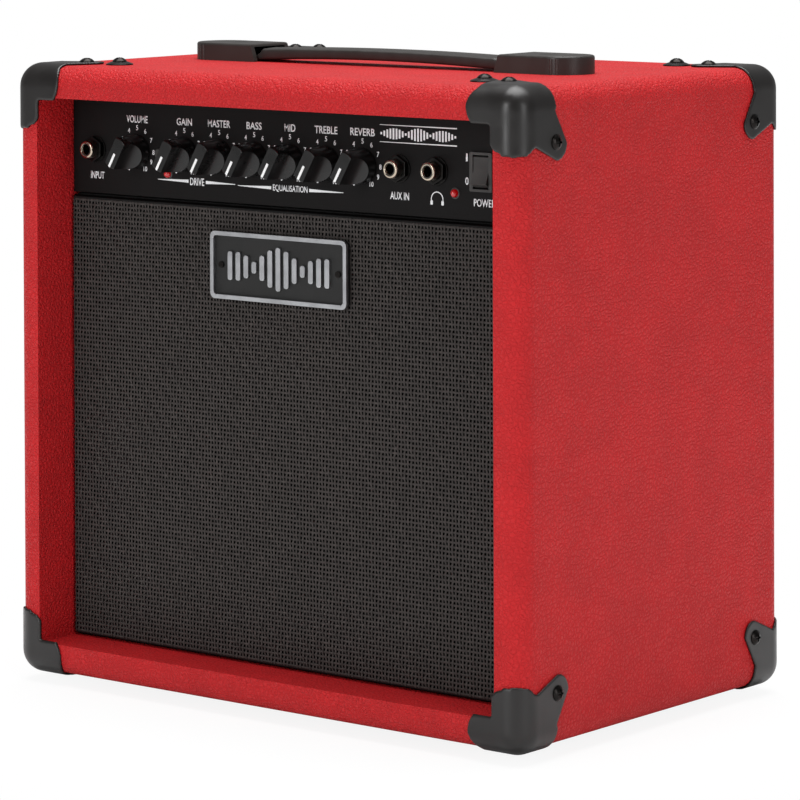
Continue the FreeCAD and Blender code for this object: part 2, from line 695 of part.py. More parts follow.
# ---------------------------------------------------------------- jacks, pots and knobs
def jack(x, z, face, outward):
    """A 6.35 mm socket: a plastic body behind the sheet and a bright threaded ring through it.

    face is the outer face of the sheet and outward is -1 at the front, +1 at the rear.
    """
    inward = -outward
    direction = V(0, inward, 0)
    mouth = face + outward * JACK_PROUD
    behind = face + inward * (PANEL_THICKNESS + SHEET)
    ring = rod(V(x, mouth, z), direction, JACK_RING_RADIUS, abs(behind - mouth))
    rim = [edge for edge in ring.Edges if abs(edge.CenterOfMass.y - mouth) < 0.01]
    ring = ring.makeFillet(1.2, rim)
    far = behind + inward * JACK_BODY_DEPTH
    body = box(x - 8, x + 8, min(behind, far), max(behind, far), z - 10, z + 10)
    bore = rod(V(x, mouth + outward, z), direction, PLUG_BORE_RADIUS, JACK_BORE_LENGTH + 1)
    return ring.fuse(body).removeSplitter().cut(bore)


def jack_places():
    """Centre, sheet face and outward direction of each jack's washer."""
    places = [(x, CONTROL_Z, PANEL_FRONT, -1) for x in JACK_X.values()]
    return places + [(FOOTSWITCH_X, REAR_CONTROL_Z, TRAY_BACK, 1)]


def jack_washers():
    washers = []
    for x, z, face, outward in jack_places():
        start = V(x, face, z)
        disc = rod(start, V(0, outward, 0), 8.2, JACK_WASHER)
        washers.append(disc.cut(rod(start, V(0, outward, 0), JACK_RING_RADIUS, JACK_WASHER)))
    return washers


def jack_nuts():
    nuts = []
    for x, z, face, outward in jack_places():
        start = V(x, face + outward * JACK_WASHER, z)
        nut = hex_prism(start, V(0, outward, 0), NUT_ACROSS_FLATS, JACK_NUT)
        nuts.append(nut.cut(rod(start, V(0, outward, 0), JACK_RING_RADIUS, JACK_NUT)))
    return nuts


def pot_body(x):
    """A potentiometer: a round can behind the sheet and a bushing for the shaft."""
    behind = TRAY_FRONT + SHEET
    can = rod(V(x, behind, CONTROL_Z), Y_AXIS, POT_RADIUS, POT_DEPTH)
    bushing_length = BUSHING_LENGTH + PANEL_THICKNESS + SHEET
    bushing = rod(V(x, behind, CONTROL_Z), V(0, -1, 0), BUSHING_RADIUS, bushing_length)
    shaft_hole = rod(
        V(x, PANEL_FRONT - 10, CONTROL_Z), Y_AXIS, SHAFT_RADIUS + RUNNING_GAP, 10 + POT_DEPTH
    )
    return can.fuse(bushing).removeSplitter().cut(shaft_hole)


def pot_nut(x):
    start = V(x, PANEL_FRONT, CONTROL_Z)
    nut = hex_prism(start, V(0, -1, 0), 13.0, NUT_THICKNESS)
    return nut.cut(rod(start, V(0, -1, 0), BUSHING_RADIUS, NUT_THICKNESS))


def knob(x):
    """A knob and the shaft that it is pushed onto: a drum with a hollow scooped out of each side.

    The scoops leave a straight bar across the top and flare out to a round skirt below. It is made
    with the pointer straight up, then turned to the lowest mark.
    """
    base = PANEL_FRONT - KNOB_PANEL_GAP
    out = V(0, -1, 0)
    centre = V(x, base, CONTROL_Z)
    height = KNOB_HEIGHT - KNOB_PANEL_GAP
    drum = Part.makeCone(KNOB_RADIUS, KNOB_RADIUS - 0.7, height, centre, out)
    rim = [edge for edge in drum.Edges if abs(edge.CenterOfMass.y - base + height) < 0.01]
    body = drum.makeFillet(0.7, rim)
    for side in (-1, 1):
        axis_x = x + side * (GRIP_WIDTH / 2 + SCOOP_RADIUS)
        axis_y = base - SCOOP_HEIGHT
        scoop = rod(V(axis_x, axis_y, CONTROL_Z - 12), Z_AXIS, SCOOP_RADIUS, 24)
        above = box(
            min(axis_x, x + side * GRIP_WIDTH / 2), max(axis_x, x + side * GRIP_WIDTH / 2),
            base - height - 1, axis_y, CONTROL_Z - 12, CONTROL_Z + 12,
        )
        body = body.cut(scoop).cut(above)
    tip = base - height
    groove = box(x - 0.6, x + 0.6, tip - 1, tip + 0.5, CONTROL_Z + 0.8, CONTROL_Z + KNOB_RADIUS + 1)
    shaft_length = 11.0
    shaft = rod(V(x, base - shaft_length, CONTROL_Z), Y_AXIS, SHAFT_RADIUS, shaft_length + 8)
    hollow = rod(centre, out, KNOB_RADIUS - 1.8, 5.2)
    body = cut_all(body, [hollow, groove, shaft])
    whole = Part.makeCompound([body, shaft])
    whole.rotate(centre, Y_AXIS, POT_REST_ANGLE)
    return whole


# ---------------------------------------------------------------- lamps and switches
def indicator_leds():
    lamps = []
    for x, z in LED_PLACES:
        stem = rod(V(x, PANEL_FRONT - 0.6, z), Y_AXIS, LED_RADIUS, PANEL_THICKNESS + SHEET + 4)
        dome = Part.makeSphere(LED_RADIUS, V(x, PANEL_FRONT - 0.6, z))
        lamps.append(stem.fuse(dome).removeSplitter())
    return lamps


def drive_switch():
    behind = TRAY_FRONT + SHEET
    body = box(DRIVE_BUTTON_X - 4.2, DRIVE_BUTTON_X + 4.2, behind, behind + 13, CONTROL_Z - 4.2, CONTROL_Z + 8)
    return body.cut(rod(V(DRIVE_BUTTON_X, behind - 1, CONTROL_Z), Y_AXIS, DRIVE_BUTTON_RADIUS + 0.2, 10))


def drive_button():
    start = V(DRIVE_BUTTON_X, PANEL_FRONT - 5.5, CONTROL_Z)
    button = rod(start, Y_AXIS, DRIVE_BUTTON_RADIUS, 5.5 + PANEL_THICKNESS + SHEET + 9 - DRIVE_TRAVEL - 0.5)
    rim = [edge for edge in button.Edges if abs(edge.CenterOfMass.y - start.y) < 0.01]
    return button.makeFillet(0.6, rim)


def power_switch_housing():
    """The switch body behind the panel, its bezel in front and a round pocket for the rocker."""
    width, height, depth = ROCKER_BODY
    bezel_width, bezel_height, proud = ROCKER_BEZEL
    body = box(
        ROCKER_X - width / 2, ROCKER_X + width / 2, PANEL_FRONT, PANEL_FRONT + depth,
        ROCKER_Z - height / 2, ROCKER_Z + height / 2,
    )
    bezel = rounded_plate(
        ROCKER_X, ROCKER_Z, bezel_width, bezel_height, 1.0, PANEL_FRONT - proud, PANEL_FRONT
    )
    pivot = PANEL_FRONT + ROCKER_PIVOT_DEPTH
    half = ROCKER_WIDTH / 2 + 0.2
    pocket_radius = ROCKER_RADIUS + 0.25
    pocket = rod(V(ROCKER_X - half, pivot, ROCKER_Z), X_AXIS, pocket_radius, 2 * half)
    mouth = box(
        ROCKER_X - half, ROCKER_X + half, PANEL_FRONT - proud - 1, pivot,
        ROCKER_Z - pocket_radius, ROCKER_Z + pocket_radius,
    )
    pin_hole = rod(V(ROCKER_X - half - 1, pivot, ROCKER_Z), X_AXIS, 1.0 + RUNNING_GAP, 2 * half + 2)
    return cut_all(body.fuse(bezel).removeSplitter(), [pocket, mouth, pin_hole])


def power_rocker():
    """The paddle: two flats that meet in a shallow V, with stub pins, tilted to ON (top pressed in)."""
    pivot = PANEL_FRONT + ROCKER_PIVOT_DEPTH
    x0 = ROCKER_X - ROCKER_WIDTH / 2
    barrel = rod(V(x0, pivot, ROCKER_Z), X_AXIS, ROCKER_RADIUS, ROCKER_WIDTH)
    dip = 4.4
    rise = 1.7
    outline = [
        (x0, pivot - dip, ROCKER_Z), (x0, pivot - dip - rise, ROCKER_Z + 10),
        (x0, pivot + 3, ROCKER_Z + 10), (x0, pivot + 3, ROCKER_Z - 10),
        (x0, pivot - dip - rise, ROCKER_Z - 10),
    ]
    paddle = barrel.common(prism(outline, X_AXIS * ROCKER_WIDTH))
    pins = rod(V(x0 - 0.9, pivot, ROCKER_Z), X_AXIS, 1.0, ROCKER_WIDTH + 1.8)
    paddle = paddle.fuse(pins).removeSplitter()
    paddle.rotate(V(ROCKER_X, pivot, ROCKER_Z), X_AXIS, -ROCKER_TILT)
    return paddle


# ---------------------------------------------------------------- electronics in the tray
def circuit_board():
    """An upright control board behind the pots and a level main board on four standoffs."""
    upright = box(-112, 72, BOARD_Y0, BOARD_Y0 + PCB, TRAY_FLOOR + 3, TRAY_FLOOR + 50)
    x0, x1, y0, y1 = MAIN_BOARD
    level = box(x0, x1, y0, y1, MAIN_BOARD_Z, MAIN_BOARD_Z + PCB)
    solids = [upright, level]
    for x in (x0 + 5, x1 - 5):
        for y in (y0 + 5, y1 - 5):
            solids.append(rod(V(x, y, TRAY_FLOOR), Z_AXIS, 3, MAIN_BOARD_Z - TRAY_FLOOR))
    return Part.makeCompound(solids)


def board_components():
    """The larger parts on the main board: reservoir capacitors, small capacitors and two chips."""
    z = MAIN_BOARD_Z + PCB
    solids = [rod(V(20 + 24 * index, 40, z), Z_AXIS, 9, 32) for index in range(2)]
    solids += [rod(V(-2 + 14 * index, 14, z), Z_AXIS, 4, 14) for index in range(5)]
    solids += [box(10 + 30 * index, 24 + 30 * index, -30, -22, z, z + 4) for index in range(3)]
    solids.append(box(94, 114, AMP_CHIP_Y, AMP_CHIP_Y + 4.5, z, z + 20))
    return Part.makeCompound(solids)


def heatsink():
    """A finned block behind the power amplifier chip."""
    z = MAIN_BOARD_Z + PCB
    y0 = AMP_CHIP_Y + 4.5
    solids = [box(74, 134, y0, y0 + 4, z, z + 36)]
    for index in range(8):
        x = 74 + index * 8.2
        solids.append(box(x, x + 2.4, y0 + 4, y0 + 24, z, z + 36))
    return fuse(solids)


def mains_transformer():
    """A laminated core, the winding on its middle leg and the foot plate."""
    x0, y0, z0 = -105.0, -20.0, TRAY_FLOOR
    foot = box(x0 - 10, x0 + 70, y0 + 2, y0 + 40, z0, z0 + 2)
    core = box(x0, x0 + 60, y0 + 7, y0 + 35, z0 + 2, z0 + 50)
    windows = [box(x0 + 10, x0 + 21, y0, y0 + 42, z0 + 12, z0 + 40)]
    windows.append(box(x0 + 39, x0 + 50, y0, y0 + 42, z0 + 12, z0 + 40))
    core = cut_all(core, windows)
    coil = box(x0 + 10.5, x0 + 49.5, y0 - 2, y0 + 44, z0 + 12.5, z0 + 39.5)
    upright = [edge for edge in coil.Edges if abs(edge.tangentAt(edge.FirstParameter).z) > 0.99]
    coil = coil.makeFillet(6, upright).cut(core)
    return Part.makeCompound([foot, core, coil])


def mains_inlet():
    """A three-pin inlet snapped into the rear of the tray."""
    flange = rounded_plate(
        INLET_X, (INLET_Z0 + INLET_Z1) / 2, 33, 28, 2.5, TRAY_BACK, TRAY_BACK + 3
    )
    body = box(INLET_X - 13.6, INLET_X + 13.6, TRAY_BACK - 24, TRAY_BACK, INLET_Z0, INLET_Z1)
    well = box(INLET_X - 11.9, INLET_X + 11.9, TRAY_BACK - 14, TRAY_BACK + 4, INLET_Z0 + 3.5, INLET_Z1 - 3.5)
    body = flange.fuse(body).removeSplitter().cut(well)
    middle = (INLET_Z0 + INLET_Z1) / 2
    pins = []
    for x, z in ((-7.0, -2.0), (0.0, 2.0), (7.0, -2.0)):
        pin_x = INLET_X + x
        pin_z = middle + z
        pins.append(box(pin_x - 1, pin_x + 1, TRAY_BACK - 14, TRAY_BACK - 2, pin_z - 2, pin_z + 2))
    return Part.makeCompound([body] + pins)


# ---------------------------------------------------------------- loudspeaker
def speaker_basket():
    """A pressed steel frame: a flange, a cone with six windows, a shelf and a seat for the magnet."""
    profile = [
        (FLANGE_RADIUS, 0.0), (FLANGE_RADIUS, 1.6), (93.0, 1.6), (90.0, 12.0), (52.0, 38.0), (52.0, 46.0),
        (28.0, 46.0), (28.0, 44.6), (50.6, 44.6), (50.6, 37.2), (88.6, 11.2), (91.3, 1.6), (91.3, 0.0),
    ]
    basket = revolved(profile, SPEAKER_CENTRE)
    window_count = 6
    for index in range(window_count):
        window = Part.makeBox(26, 25, 20, V(-13, 13, 62))
        window.rotate(V(0, 0, 0), Y_AXIS, 30 + 360 / window_count * index)
        window.translate(SPEAKER_CENTRE)
        basket = basket.cut(window)
    return basket


def speaker_screws():
    screws = []
    for index in range(4):
        angle = math.radians(45 + 90 * index)
        x = SPEAKER_SCREW_RADIUS * math.cos(angle)
        z = SPEAKER_Z + SPEAKER_SCREW_RADIUS * math.sin(angle)
        screws.append(pan_screw(V(x, BAFFLE_BACK + 1.6, z), V(0, -1, 0), 13, 1.75, 3.4))
    return screws


def speaker_magnet():
    """Top plate, ring magnet and back plate with its pole."""
    top_plate = revolved([(GAP_RADIUS, 46.0), (42.0, 46.0), (42.0, 51.0), (GAP_RADIUS, 51.0)], SPEAKER_CENTRE)
    magnet = revolved([(21.0, 51.0), (45.0, 51.0), (45.0, 64.0), (21.0, 64.0)], SPEAKER_CENTRE)
    back = revolved(
        [(0.0, 45.5), (POLE_RADIUS, 45.5), (POLE_RADIUS, 64.0), (42.0, 64.0), (42.0, 69.0), (0.0, 69.0)],
        SPEAKER_CENTRE,
    )
    return Part.makeCompound([top_plate, magnet, back])


def speaker_surround():
    """A half-roll of rubber between the cone and the basket, bulging forward."""
    inner = CONE_RADIUS
    outer = 89.0
    rim = 91.3
    middle = (inner + outer) / 2
    roll = (outer - inner) / 2
    thickness = 0.7

    def at(radius, depth):
        return V(radius, depth, 0)

    edges = [
        Part.LineSegment(at(inner, thickness), at(inner, 0)).toShape(),
        Part.Arc(at(inner, 0), at(middle, -roll), at(outer, 0)).toShape(),
        Part.LineSegment(at(outer, 0), at(rim, 0)).toShape(),
        Part.LineSegment(at(rim, 0), at(rim, thickness)).toShape(),
        Part.LineSegment(at(rim, thickness), at(outer - thickness, thickness)).toShape(),
        Part.LineSegment(at(outer - thickness, thickness), at(outer - thickness, 0)).toShape(),
        Part.Arc(
            at(outer - thickness, 0), at(middle, thickness - roll), at(inner + thickness, 0)
        ).toShape(),
        Part.LineSegment(at(inner + thickness, 0), at(inner + thickness, thickness)).toShape(),
        Part.LineSegment(at(inner + thickness, thickness), at(inner, thickness)).toShape(),
    ]
    ring = Part.Face(Part.Wire(edges)).revolve(V(0, 0, 0), Y_AXIS, 360)
    ring.translate(SPEAKER_CENTRE)
    return ring


def speaker_cone():
    profile = [(CONE_RADIUS, 0.0), (CONE_RADIUS, 0.8), (COIL_RADIUS, 33.0), (COIL_RADIUS, 31.8), (79.0, 0.0)]
    return revolved(profile, SPEAKER_CENTRE)


def dust_cap():
    """A shallow dome over the coil, its rim resting on the cone."""
    ball = 34.0
    rim = 22.0
    depth = 31.8 * (79.0 - rim) / (79.0 - COIL_RADIUS) - 0.02
    drop = math.sqrt(ball * ball - rim * rim)
    centre = V(0, depth + drop, 0)
    dome = Part.makeSphere(ball, centre).cut(Part.makeSphere(ball - 0.6, centre))
    dome = dome.common(Part.makeCylinder(rim, ball, V(0, depth, 0), V(0, -1, 0)))
    dome.translate(SPEAKER_CENTRE)
    return dome


def voice_coil():
    return revolved([(12.6, 31.8), (COIL_RADIUS, 31.8), (COIL_RADIUS, 56.0), (12.6, 56.0)], SPEAKER_CENTRE)


def speaker_spider():
    """A corrugated disc that centres the coil on the basket."""
    waves = 5
    inner = COIL_RADIUS
    outer = 50.6
    pitch = (outer - inner) / (2 * waves)
    front = [(inner + pitch * index, 39.0 + (0.9 if index % 2 else -0.9)) for index in range(2 * waves + 1)]
    back = [(radius, depth + 0.6) for radius, depth in front[::-1]]
    return revolved(front + back, SPEAKER_CENTRE)


# ---------------------------------------------------------------- assembly
def build():
    """Every piece by name; screws cut their own holes in the pieces that they pass through."""
    ring = board_ring()
    right = side_panel_right(ring)
    cabinet_screws = foot_screws()
    for screw in corner_screw_pair():
        for fronts in (True, False):
            cabinet_screws += mirrored_to_corners(screw, fronts)
    protector = corner_protector()
    screws = {
        "cabinet_screws": cabinet_screws,
        "handle_screws": handle_screws(),
        "rear_panel_screws": rear_panel_screws(),
        "chassis_screws": chassis_screws(),
        "speaker_screws": speaker_screws(),
    }
    rivets = badge_rivets()
    cap = handle_cap()
    pieces = {
        "side_panel_left": mirrored_x(right),
        "side_panel_right": right,
        "top_panel": top_panel(ring),
        "bottom_panel": bottom_panel(ring),
        "vinyl_covering": vinyl_covering(),
        "panel_cleats": panel_cleats(),
        "baffle_board": baffle_board(),
        "grille_frame": grille_frame(),
        "grille_cloth": grille_cloth(),
        "badge_plate": badge_plate(),
        "badge_trim": badge_trim(),
        "badge_rivets": rivets,
        "corner_protectors_front": Part.makeCompound(mirrored_to_corners(protector, True)),
        "corner_protectors_rear": Part.makeCompound(mirrored_to_corners(protector, False)),
        "handle_cap_left": mirrored_x(cap),
        "handle_cap_right": cap,
        "handle_strap": handle_strap(),
        "rubber_feet": Part.makeCompound(rubber_feet()),
        "rear_panel_upper": rear_panel(REAR_UPPER_BOTTOM, REAR_UPPER_TOP),
        "rear_panel_lower": rear_panel(INNER_BOTTOM + 1, REAR_LOWER_TOP),
        "control_panel": control_panel(),
        "chassis_tray": chassis_tray(),
        "cup_washers": Part.makeCompound([cup_washer(x, y) for x, y in chassis_screw_places()]),
        "jack_footswitch": jack(FOOTSWITCH_X, REAR_CONTROL_Z, TRAY_BACK, 1),
        "jack_nuts": Part.makeCompound(jack_nuts()),
        "jack_washers": Part.makeCompound(jack_washers()),
        "pot_bodies": Part.makeCompound([pot_body(x) for x in KNOB_X.values()]),
        "pot_nuts": Part.makeCompound([pot_nut(x) for x in KNOB_X.values()]),
        "indicator_leds": Part.makeCompound(indicator_leds()),
        "drive_switch": drive_switch(),
        "drive_button": drive_button(),
        "power_switch_housing": power_switch_housing(),
        "power_rocker": power_rocker(),
        "circuit_board": circuit_board(),
        "board_components": board_components(),
        "heatsink": heatsink(),
        "mains_transformer": mains_transformer(),
        "mains_inlet": mains_inlet(),
        "speaker_basket": speaker_basket(),
        "speaker_magnet": speaker_magnet(),
        "speaker_surround": speaker_surround(),
        "speaker_cone": speaker_cone(),
        "dust_cap": dust_cap(),
        "voice_coil": voice_coil(),
        "speaker_spider": speaker_spider(),
    }
    for name, x in JACK_X.items():
        pieces["jack_" + name] = jack(x, CONTROL_Z, PANEL_FRONT, -1)
    for name, x in KNOB_X.items():
        pieces["knob_" + name] = knob(x)
    drill(pieces, screws, rivets)
    for name, group in screws.items():
        pieces[name] = Part.makeCompound(group)
    return pieces


def drill(pieces, screws, rivets):
    """Cut each screw's own shape out of the pieces that it passes through."""
    drilled = {
        "cabinet_screws": [
            "side_panel_left", "side_panel_right", "top_panel", "bottom_panel", "vinyl_covering",
            "corner_protectors_front", "corner_protectors_rear", "rubber_feet",
        ],
        "handle_screws": ["top_panel", "vinyl_covering", "handle_cap_left", "handle_cap_right"],
        "rear_panel_screws": ["rear_panel_upper", "rear_panel_lower", "panel_cleats"],
        "chassis_screws": ["top_panel", "vinyl_covering", "chassis_tray"],
        "speaker_screws": ["speaker_basket", "baffle_board"],
    }
    for group, names in drilled.items():
        tool = Part.makeCompound(screws[group])
        for name in names:
            pieces[name] = pieces[name].cut(tool)
    for name in ("badge_plate", "grille_cloth", "grille_frame", "baffle_board"):
        pieces[name] = pieces[name].cut(rivets)


def main():
    os.makedirs("parts", exist_ok=True)
    for name, shape in build().items():
        write(name, shape)


main()
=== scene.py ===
"""Looks of a red guitar practice amplifier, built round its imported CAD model.

Units are metres and the frame is the CAD frame: the origin is on the floor under the middle of the
cabinet, +X is to the right seen from the front, +Y points to the back and +Z points up.
"""
import math

import bmesh
import bpy
import numpy as np
from mathutils import Matrix, Vector


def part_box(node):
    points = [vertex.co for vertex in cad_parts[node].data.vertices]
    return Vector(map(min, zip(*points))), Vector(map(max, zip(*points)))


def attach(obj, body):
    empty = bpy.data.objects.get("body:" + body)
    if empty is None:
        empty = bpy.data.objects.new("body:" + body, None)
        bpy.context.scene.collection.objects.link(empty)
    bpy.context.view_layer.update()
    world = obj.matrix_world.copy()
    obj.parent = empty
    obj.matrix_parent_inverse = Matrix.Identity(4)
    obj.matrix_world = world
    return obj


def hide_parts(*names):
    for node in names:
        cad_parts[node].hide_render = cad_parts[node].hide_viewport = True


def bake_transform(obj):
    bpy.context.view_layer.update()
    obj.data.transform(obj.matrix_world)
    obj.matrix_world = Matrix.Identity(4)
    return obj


MM = 0.001

# ---- Camera: a long lens above and to the right of the front, with its image shifted down so
# that the cabinet's upright edges stay parallel
CAMERA_PLACE = Vector((1.5413, -1.9237, 0.5249))
CAMERA_YAW = 39.41
CAMERA_PITCH = 1.283
CAMERA_ROLL = -0.213
CAMERA_LENS = 180.81
CAMERA_SENSOR = 36.0
CAMERA_SHIFT = (0.06963, -0.5965)
SHIFT_RELEASE = 0.05  # this far from its place the camera has no shift

# ---- Light: place, the point it faces, width and height, and power of each softbox
SOFTBOXES = {
    "front_strip": ((-0.3, -2.9, 0.9), (0, 0, 0.25), (0.7, 2.0), 37),
    "side_strip": ((2.9, -0.9, 0.9), (0.1, 0, 0.25), (0.7, 2.0), 21),
    "top": ((0.0, 0.2, 2.8), (0, 0, 0.3), (2.2, 2.2), 120),
}
SURROUND_LIGHT = 0.3
FLOOR_HALF_SIDE = 8.0
FLOOR_FADE_START = 0.15  # distance from the middle of the floor
FLOOR_FADE_END = 0.35
FLOOR_WHITE = 0.88  # share of the backdrop's white in the floor, even under the object

# ---- Surfaces
NOISE_ROUGHNESS = 0.55
# pointiness range over which edges turn paler: wear together with a painted edge highlight
EDGE_WEAR_AND_HIGHLIGHT_POINTINESS = (0.52, 0.62)
BRUSH_DEPTH = 0.004 * MM
GRAIN_CELL = 2.7 * MM  # pebble of the covering
GRAIN_DEPTH = 0.55 * MM
WELD_REACH = 0.002 * MM
PROTECTOR_VOXEL = 0.75 * MM
PROTECTOR_SMOOTHING = 5

# ---- Grille cloth: an open twill of flat threads
WARP_PITCH = 2.5 * MM
WEFT_PITCH = 2.8 * MM
WARP_WIDTH = 1.3 * MM
WEFT_WIDTH = 1.25 * MM
THREAD_RISE = 0.24 * MM
THREAD_CROWN = 0.24 * MM
SCRIM_DEPTH = 0.7 * MM
TWILL = 4  # threads in one repeat: over two, under two
CLOTH_EDGE_RADIUS = 3.0 * MM

# ---- Printing on the control panel
PRINT_THICKNESS = 0.04 * MM
PRINT_SPREAD = 0.015  # how far the letters' outlines are grown, as a share of their size
LABEL_HEIGHT = 4.5 * MM
LABEL_Z = 349.5 * MM
LOW_LABEL_Z = 313.5 * MM
DIGIT_HEIGHT = 3.1 * MM
DIGIT_WIDTH = 1.75 * MM
DIAL_REACH = 13.4 * MM  # numbers stand on an upright oval round each knob
DIAL_RISE = 14.6 * MM
DIAL_FALL = 11.9 * MM
DIAL_START = -150
DIAL_STEP = 30
KNOB_LABELS = {
    "volume": ("VOLUME", 17.6),
    "gain": ("GAIN", 12.5),
    "master": ("MASTER", 18.0),
    "bass": ("BASS", 12.0),
    "middle": ("MID", 8.5),
    "treble": ("TREBLE", 17.5),
    "reverb": ("REVERB", 18.5),
}

# ---- Knob pointers
POINTER_WIDTH = 1.7 * MM
POINTER_START = 0.2 * MM
POINTER_END = 9.5 * MM

# ---- Handle strap
GRIP_STATIONS = 96
GRIP_SIDES = 48
GRIP_SHOULDER = 7.6 * MM  # thickness beside the caps
GRIP_TONGUE = 3.0 * MM
GRIP_ARCH = 2.4 * MM  # rise of the underside in the middle
GRIP_STEP = 2.5 * MM
GRIP_GROOVE_Y = 8.6 * MM
GRIP_GROOVE_WIDTH = 0.9 * MM
GRIP_GROOVE_DEPTH = 0.5 * MM

# ---- Loudspeaker wires
LEAD_X = 62 * MM
LEAD_GAP = 2.2 * MM
LEAD_RADIUS = 0.9 * MM

NODES = {}


# ---------------------------------------------------------------- material building blocks
class Shader:
    """The node tree of one material, textured in the CAD frame."""

    def __init__(self, name):
        self.material = bpy.data.materials.new(name)
        self.material.use_nodes = True
        self.nodes = self.material.node_tree.nodes
        self.links = self.material.node_tree.links
        self.surface = self.nodes["Principled BSDF"]
        self.place = self.nodes.new("ShaderNodeTexCoord").outputs["Object"]

    def wire(self, source, socket):
        """Sets socket to a value, or links it to another node's output."""
        if isinstance(source, bpy.types.NodeSocket):
            self.links.new(source, socket)
        else:
            socket.default_value = source

    def stretch(self, x, y, z):
        """The place scaled along each axis, for grain that runs one way."""
        node = self.nodes.new("ShaderNodeMapping")
        self.wire(self.place, node.inputs["Vector"])
        node.inputs["Scale"].default_value = (x, y, z)
        return node.outputs["Vector"]

    def noise(self, size, detail=3.0, place=None):
        """Cloudy noise whose blobs are about size metres across, from 0 to 1."""
        node = self.nodes.new("ShaderNodeTexNoise")
        self.wire(place or self.place, node.inputs["Vector"])
        node.inputs["Scale"].default_value = 1 / size
        node.inputs["Detail"].default_value = detail
        node.inputs["Roughness"].default_value = NOISE_ROUGHNESS
        return node.outputs["Fac"]

    def cells(self, size, feature="F1", place=None):
        """Distance to a cell centre, or to a cell edge, of cells about size metres across."""
        node = self.nodes.new("ShaderNodeTexVoronoi")
        node.feature = feature
        self.wire(place or self.place, node.inputs["Vector"])
        node.inputs["Scale"].default_value = 1 / size
        return node.outputs["Distance"]

    def warped(self, size, amount):
        """The place pushed about by noise, so that cells lose their straight sides."""
        noise = self.nodes.new("ShaderNodeTexNoise")
        self.wire(self.place, noise.inputs["Vector"])
        noise.inputs["Scale"].default_value = 1 / size
        noise.inputs["Detail"].default_value = 2.0
        centred = self.vector("SUBTRACT", noise.outputs["Color"], (0.5, 0.5, 0.5))
        push = self.vector("MULTIPLY", centred, (amount, amount, amount))
        return self.vector("ADD", self.place, push)

    def vector(self, operation, a, b):
        node = self.nodes.new("ShaderNodeVectorMath")
        node.operation = operation
        self.wire(a, node.inputs[0])
        self.wire(b, node.inputs[1])
        return node.outputs["Vector"]

    def math(self, operation, a, b=0.0):
        node = self.nodes.new("ShaderNodeMath")
        node.operation = operation
        self.wire(a, node.inputs[0])
        self.wire(b, node.inputs[1])
        return node.outputs["Value"]

    def remap(self, value, low, high, to_low=0.0, to_high=1.0):
        """value taken from low..high to to_low..to_high, smoothly and held at the ends."""
        node = self.nodes.new("ShaderNodeMapRange")
        node.interpolation_type = "SMOOTHSTEP"
        self.wire(value, node.inputs["Value"])
        node.inputs["From Min"].default_value = low
        node.inputs["From Max"].default_value = high
        node.inputs["To Min"].default_value = to_low
        node.inputs["To Max"].default_value = to_high
        return node.outputs["Result"]

    def blend(self, share, first, second):
        """A colour between first and second, by share."""
        node = self.nodes.new("ShaderNodeMix")
        node.data_type = "RGBA"
        self.wire(share, node.inputs[0])
        self.wire(first, node.inputs[6])
        self.wire(second, node.inputs[7])
        return node.outputs[2]

    def relief(self, height, depth, strength=1.0, base=None):
        """A bump whose full height is depth metres, on top of an earlier bump if one is given."""
        node = self.nodes.new("ShaderNodeBump")
        self.wire(height, node.inputs["Height"])
        node.inputs["Distance"].default_value = depth
        node.inputs["Strength"].default_value = strength
        if base is not None:
            self.wire(base, node.inputs["Normal"])
        return node.outputs["Normal"]

    def worn_edges(self):
        """1 along sharp outer edges, from the mesh's own pointiness: where wear and a painted highlight make
        edges paler.
        """
        geometry = self.nodes.new("ShaderNodeNewGeometry")
        return self.remap(geometry.outputs["Pointiness"], *EDGE_WEAR_AND_HIGHLIGHT_POINTINESS)

    def finish(self, colour, roughness, normal=None, metal=0.0, **extra):
        self.wire(colour, self.surface.inputs["Base Color"])
        self.wire(roughness, self.surface.inputs["Roughness"])
        self.wire(metal, self.surface.inputs["Metallic"])
        if normal is not None:
            self.wire(normal, self.surface.inputs["Normal"])
        for name, value in extra.items():
            self.wire(value, self.surface.inputs[name.replace("_", " ")])
        return self.material


def rgb(red, green, blue):
    """A colour given as 0..255 screen values, as the linear colour that a shader takes."""
    linear = []
    for value in (red, green, blue):
        share = value / 255
        linear.append(share / 12.92 if share <= 0.04045 else ((share + 0.055) / 1.055) ** 2.4)
    return (*linear, 1.0)


def tinted(colour, factor):
    return (*(min(1.0, channel * factor) for channel in colour[:3]), 1.0)


# ---------------------------------------------------------------- materials
def moulded(name, colour, roughness=0.42, grain=0.35 * MM, depth=0.02 * MM, edge_wear_and_highlight_gain=1.25, shine=0.35):
    """Moulded plastic: a fine spark-eroded grain, slight clouding and paler edges, partly wear and partly a
    painted highlight.
    """
    s = Shader(name)
    cloud = s.noise(14 * MM, 4)
    fine = s.noise(grain, 2)
    body = s.blend(cloud, tinted(colour, 0.88), tinted(colour, 1.12))
    # paler edges: wear plus a painted highlight where light would catch them
    body = s.blend(s.math("MULTIPLY", s.worn_edges(), 0.5), body, tinted(colour, edge_wear_and_highlight_gain * 1.6))
    rough = s.remap(cloud, 0.3, 0.7, roughness - 0.05, roughness + 0.06)
    return s.finish(body, rough, s.relief(fine, depth), Specular_IOR_Level=shine)


def rubber(name, colour, roughness=0.62):
    """Rubber: matt, with a slight bloom and a soft grain."""
    s = Shader(name)
    bloom = s.noise(9 * MM, 4)
    fine = s.noise(0.6 * MM, 3)
    body = s.blend(bloom, tinted(colour, 0.85), tinted(colour, 1.25))
    rough = s.remap(bloom, 0.3, 0.7, roughness - 0.06, roughness + 0.08)
    return s.finish(body, rough, s.relief(fine, 0.03 * MM), Specular_IOR_Level=0.35)


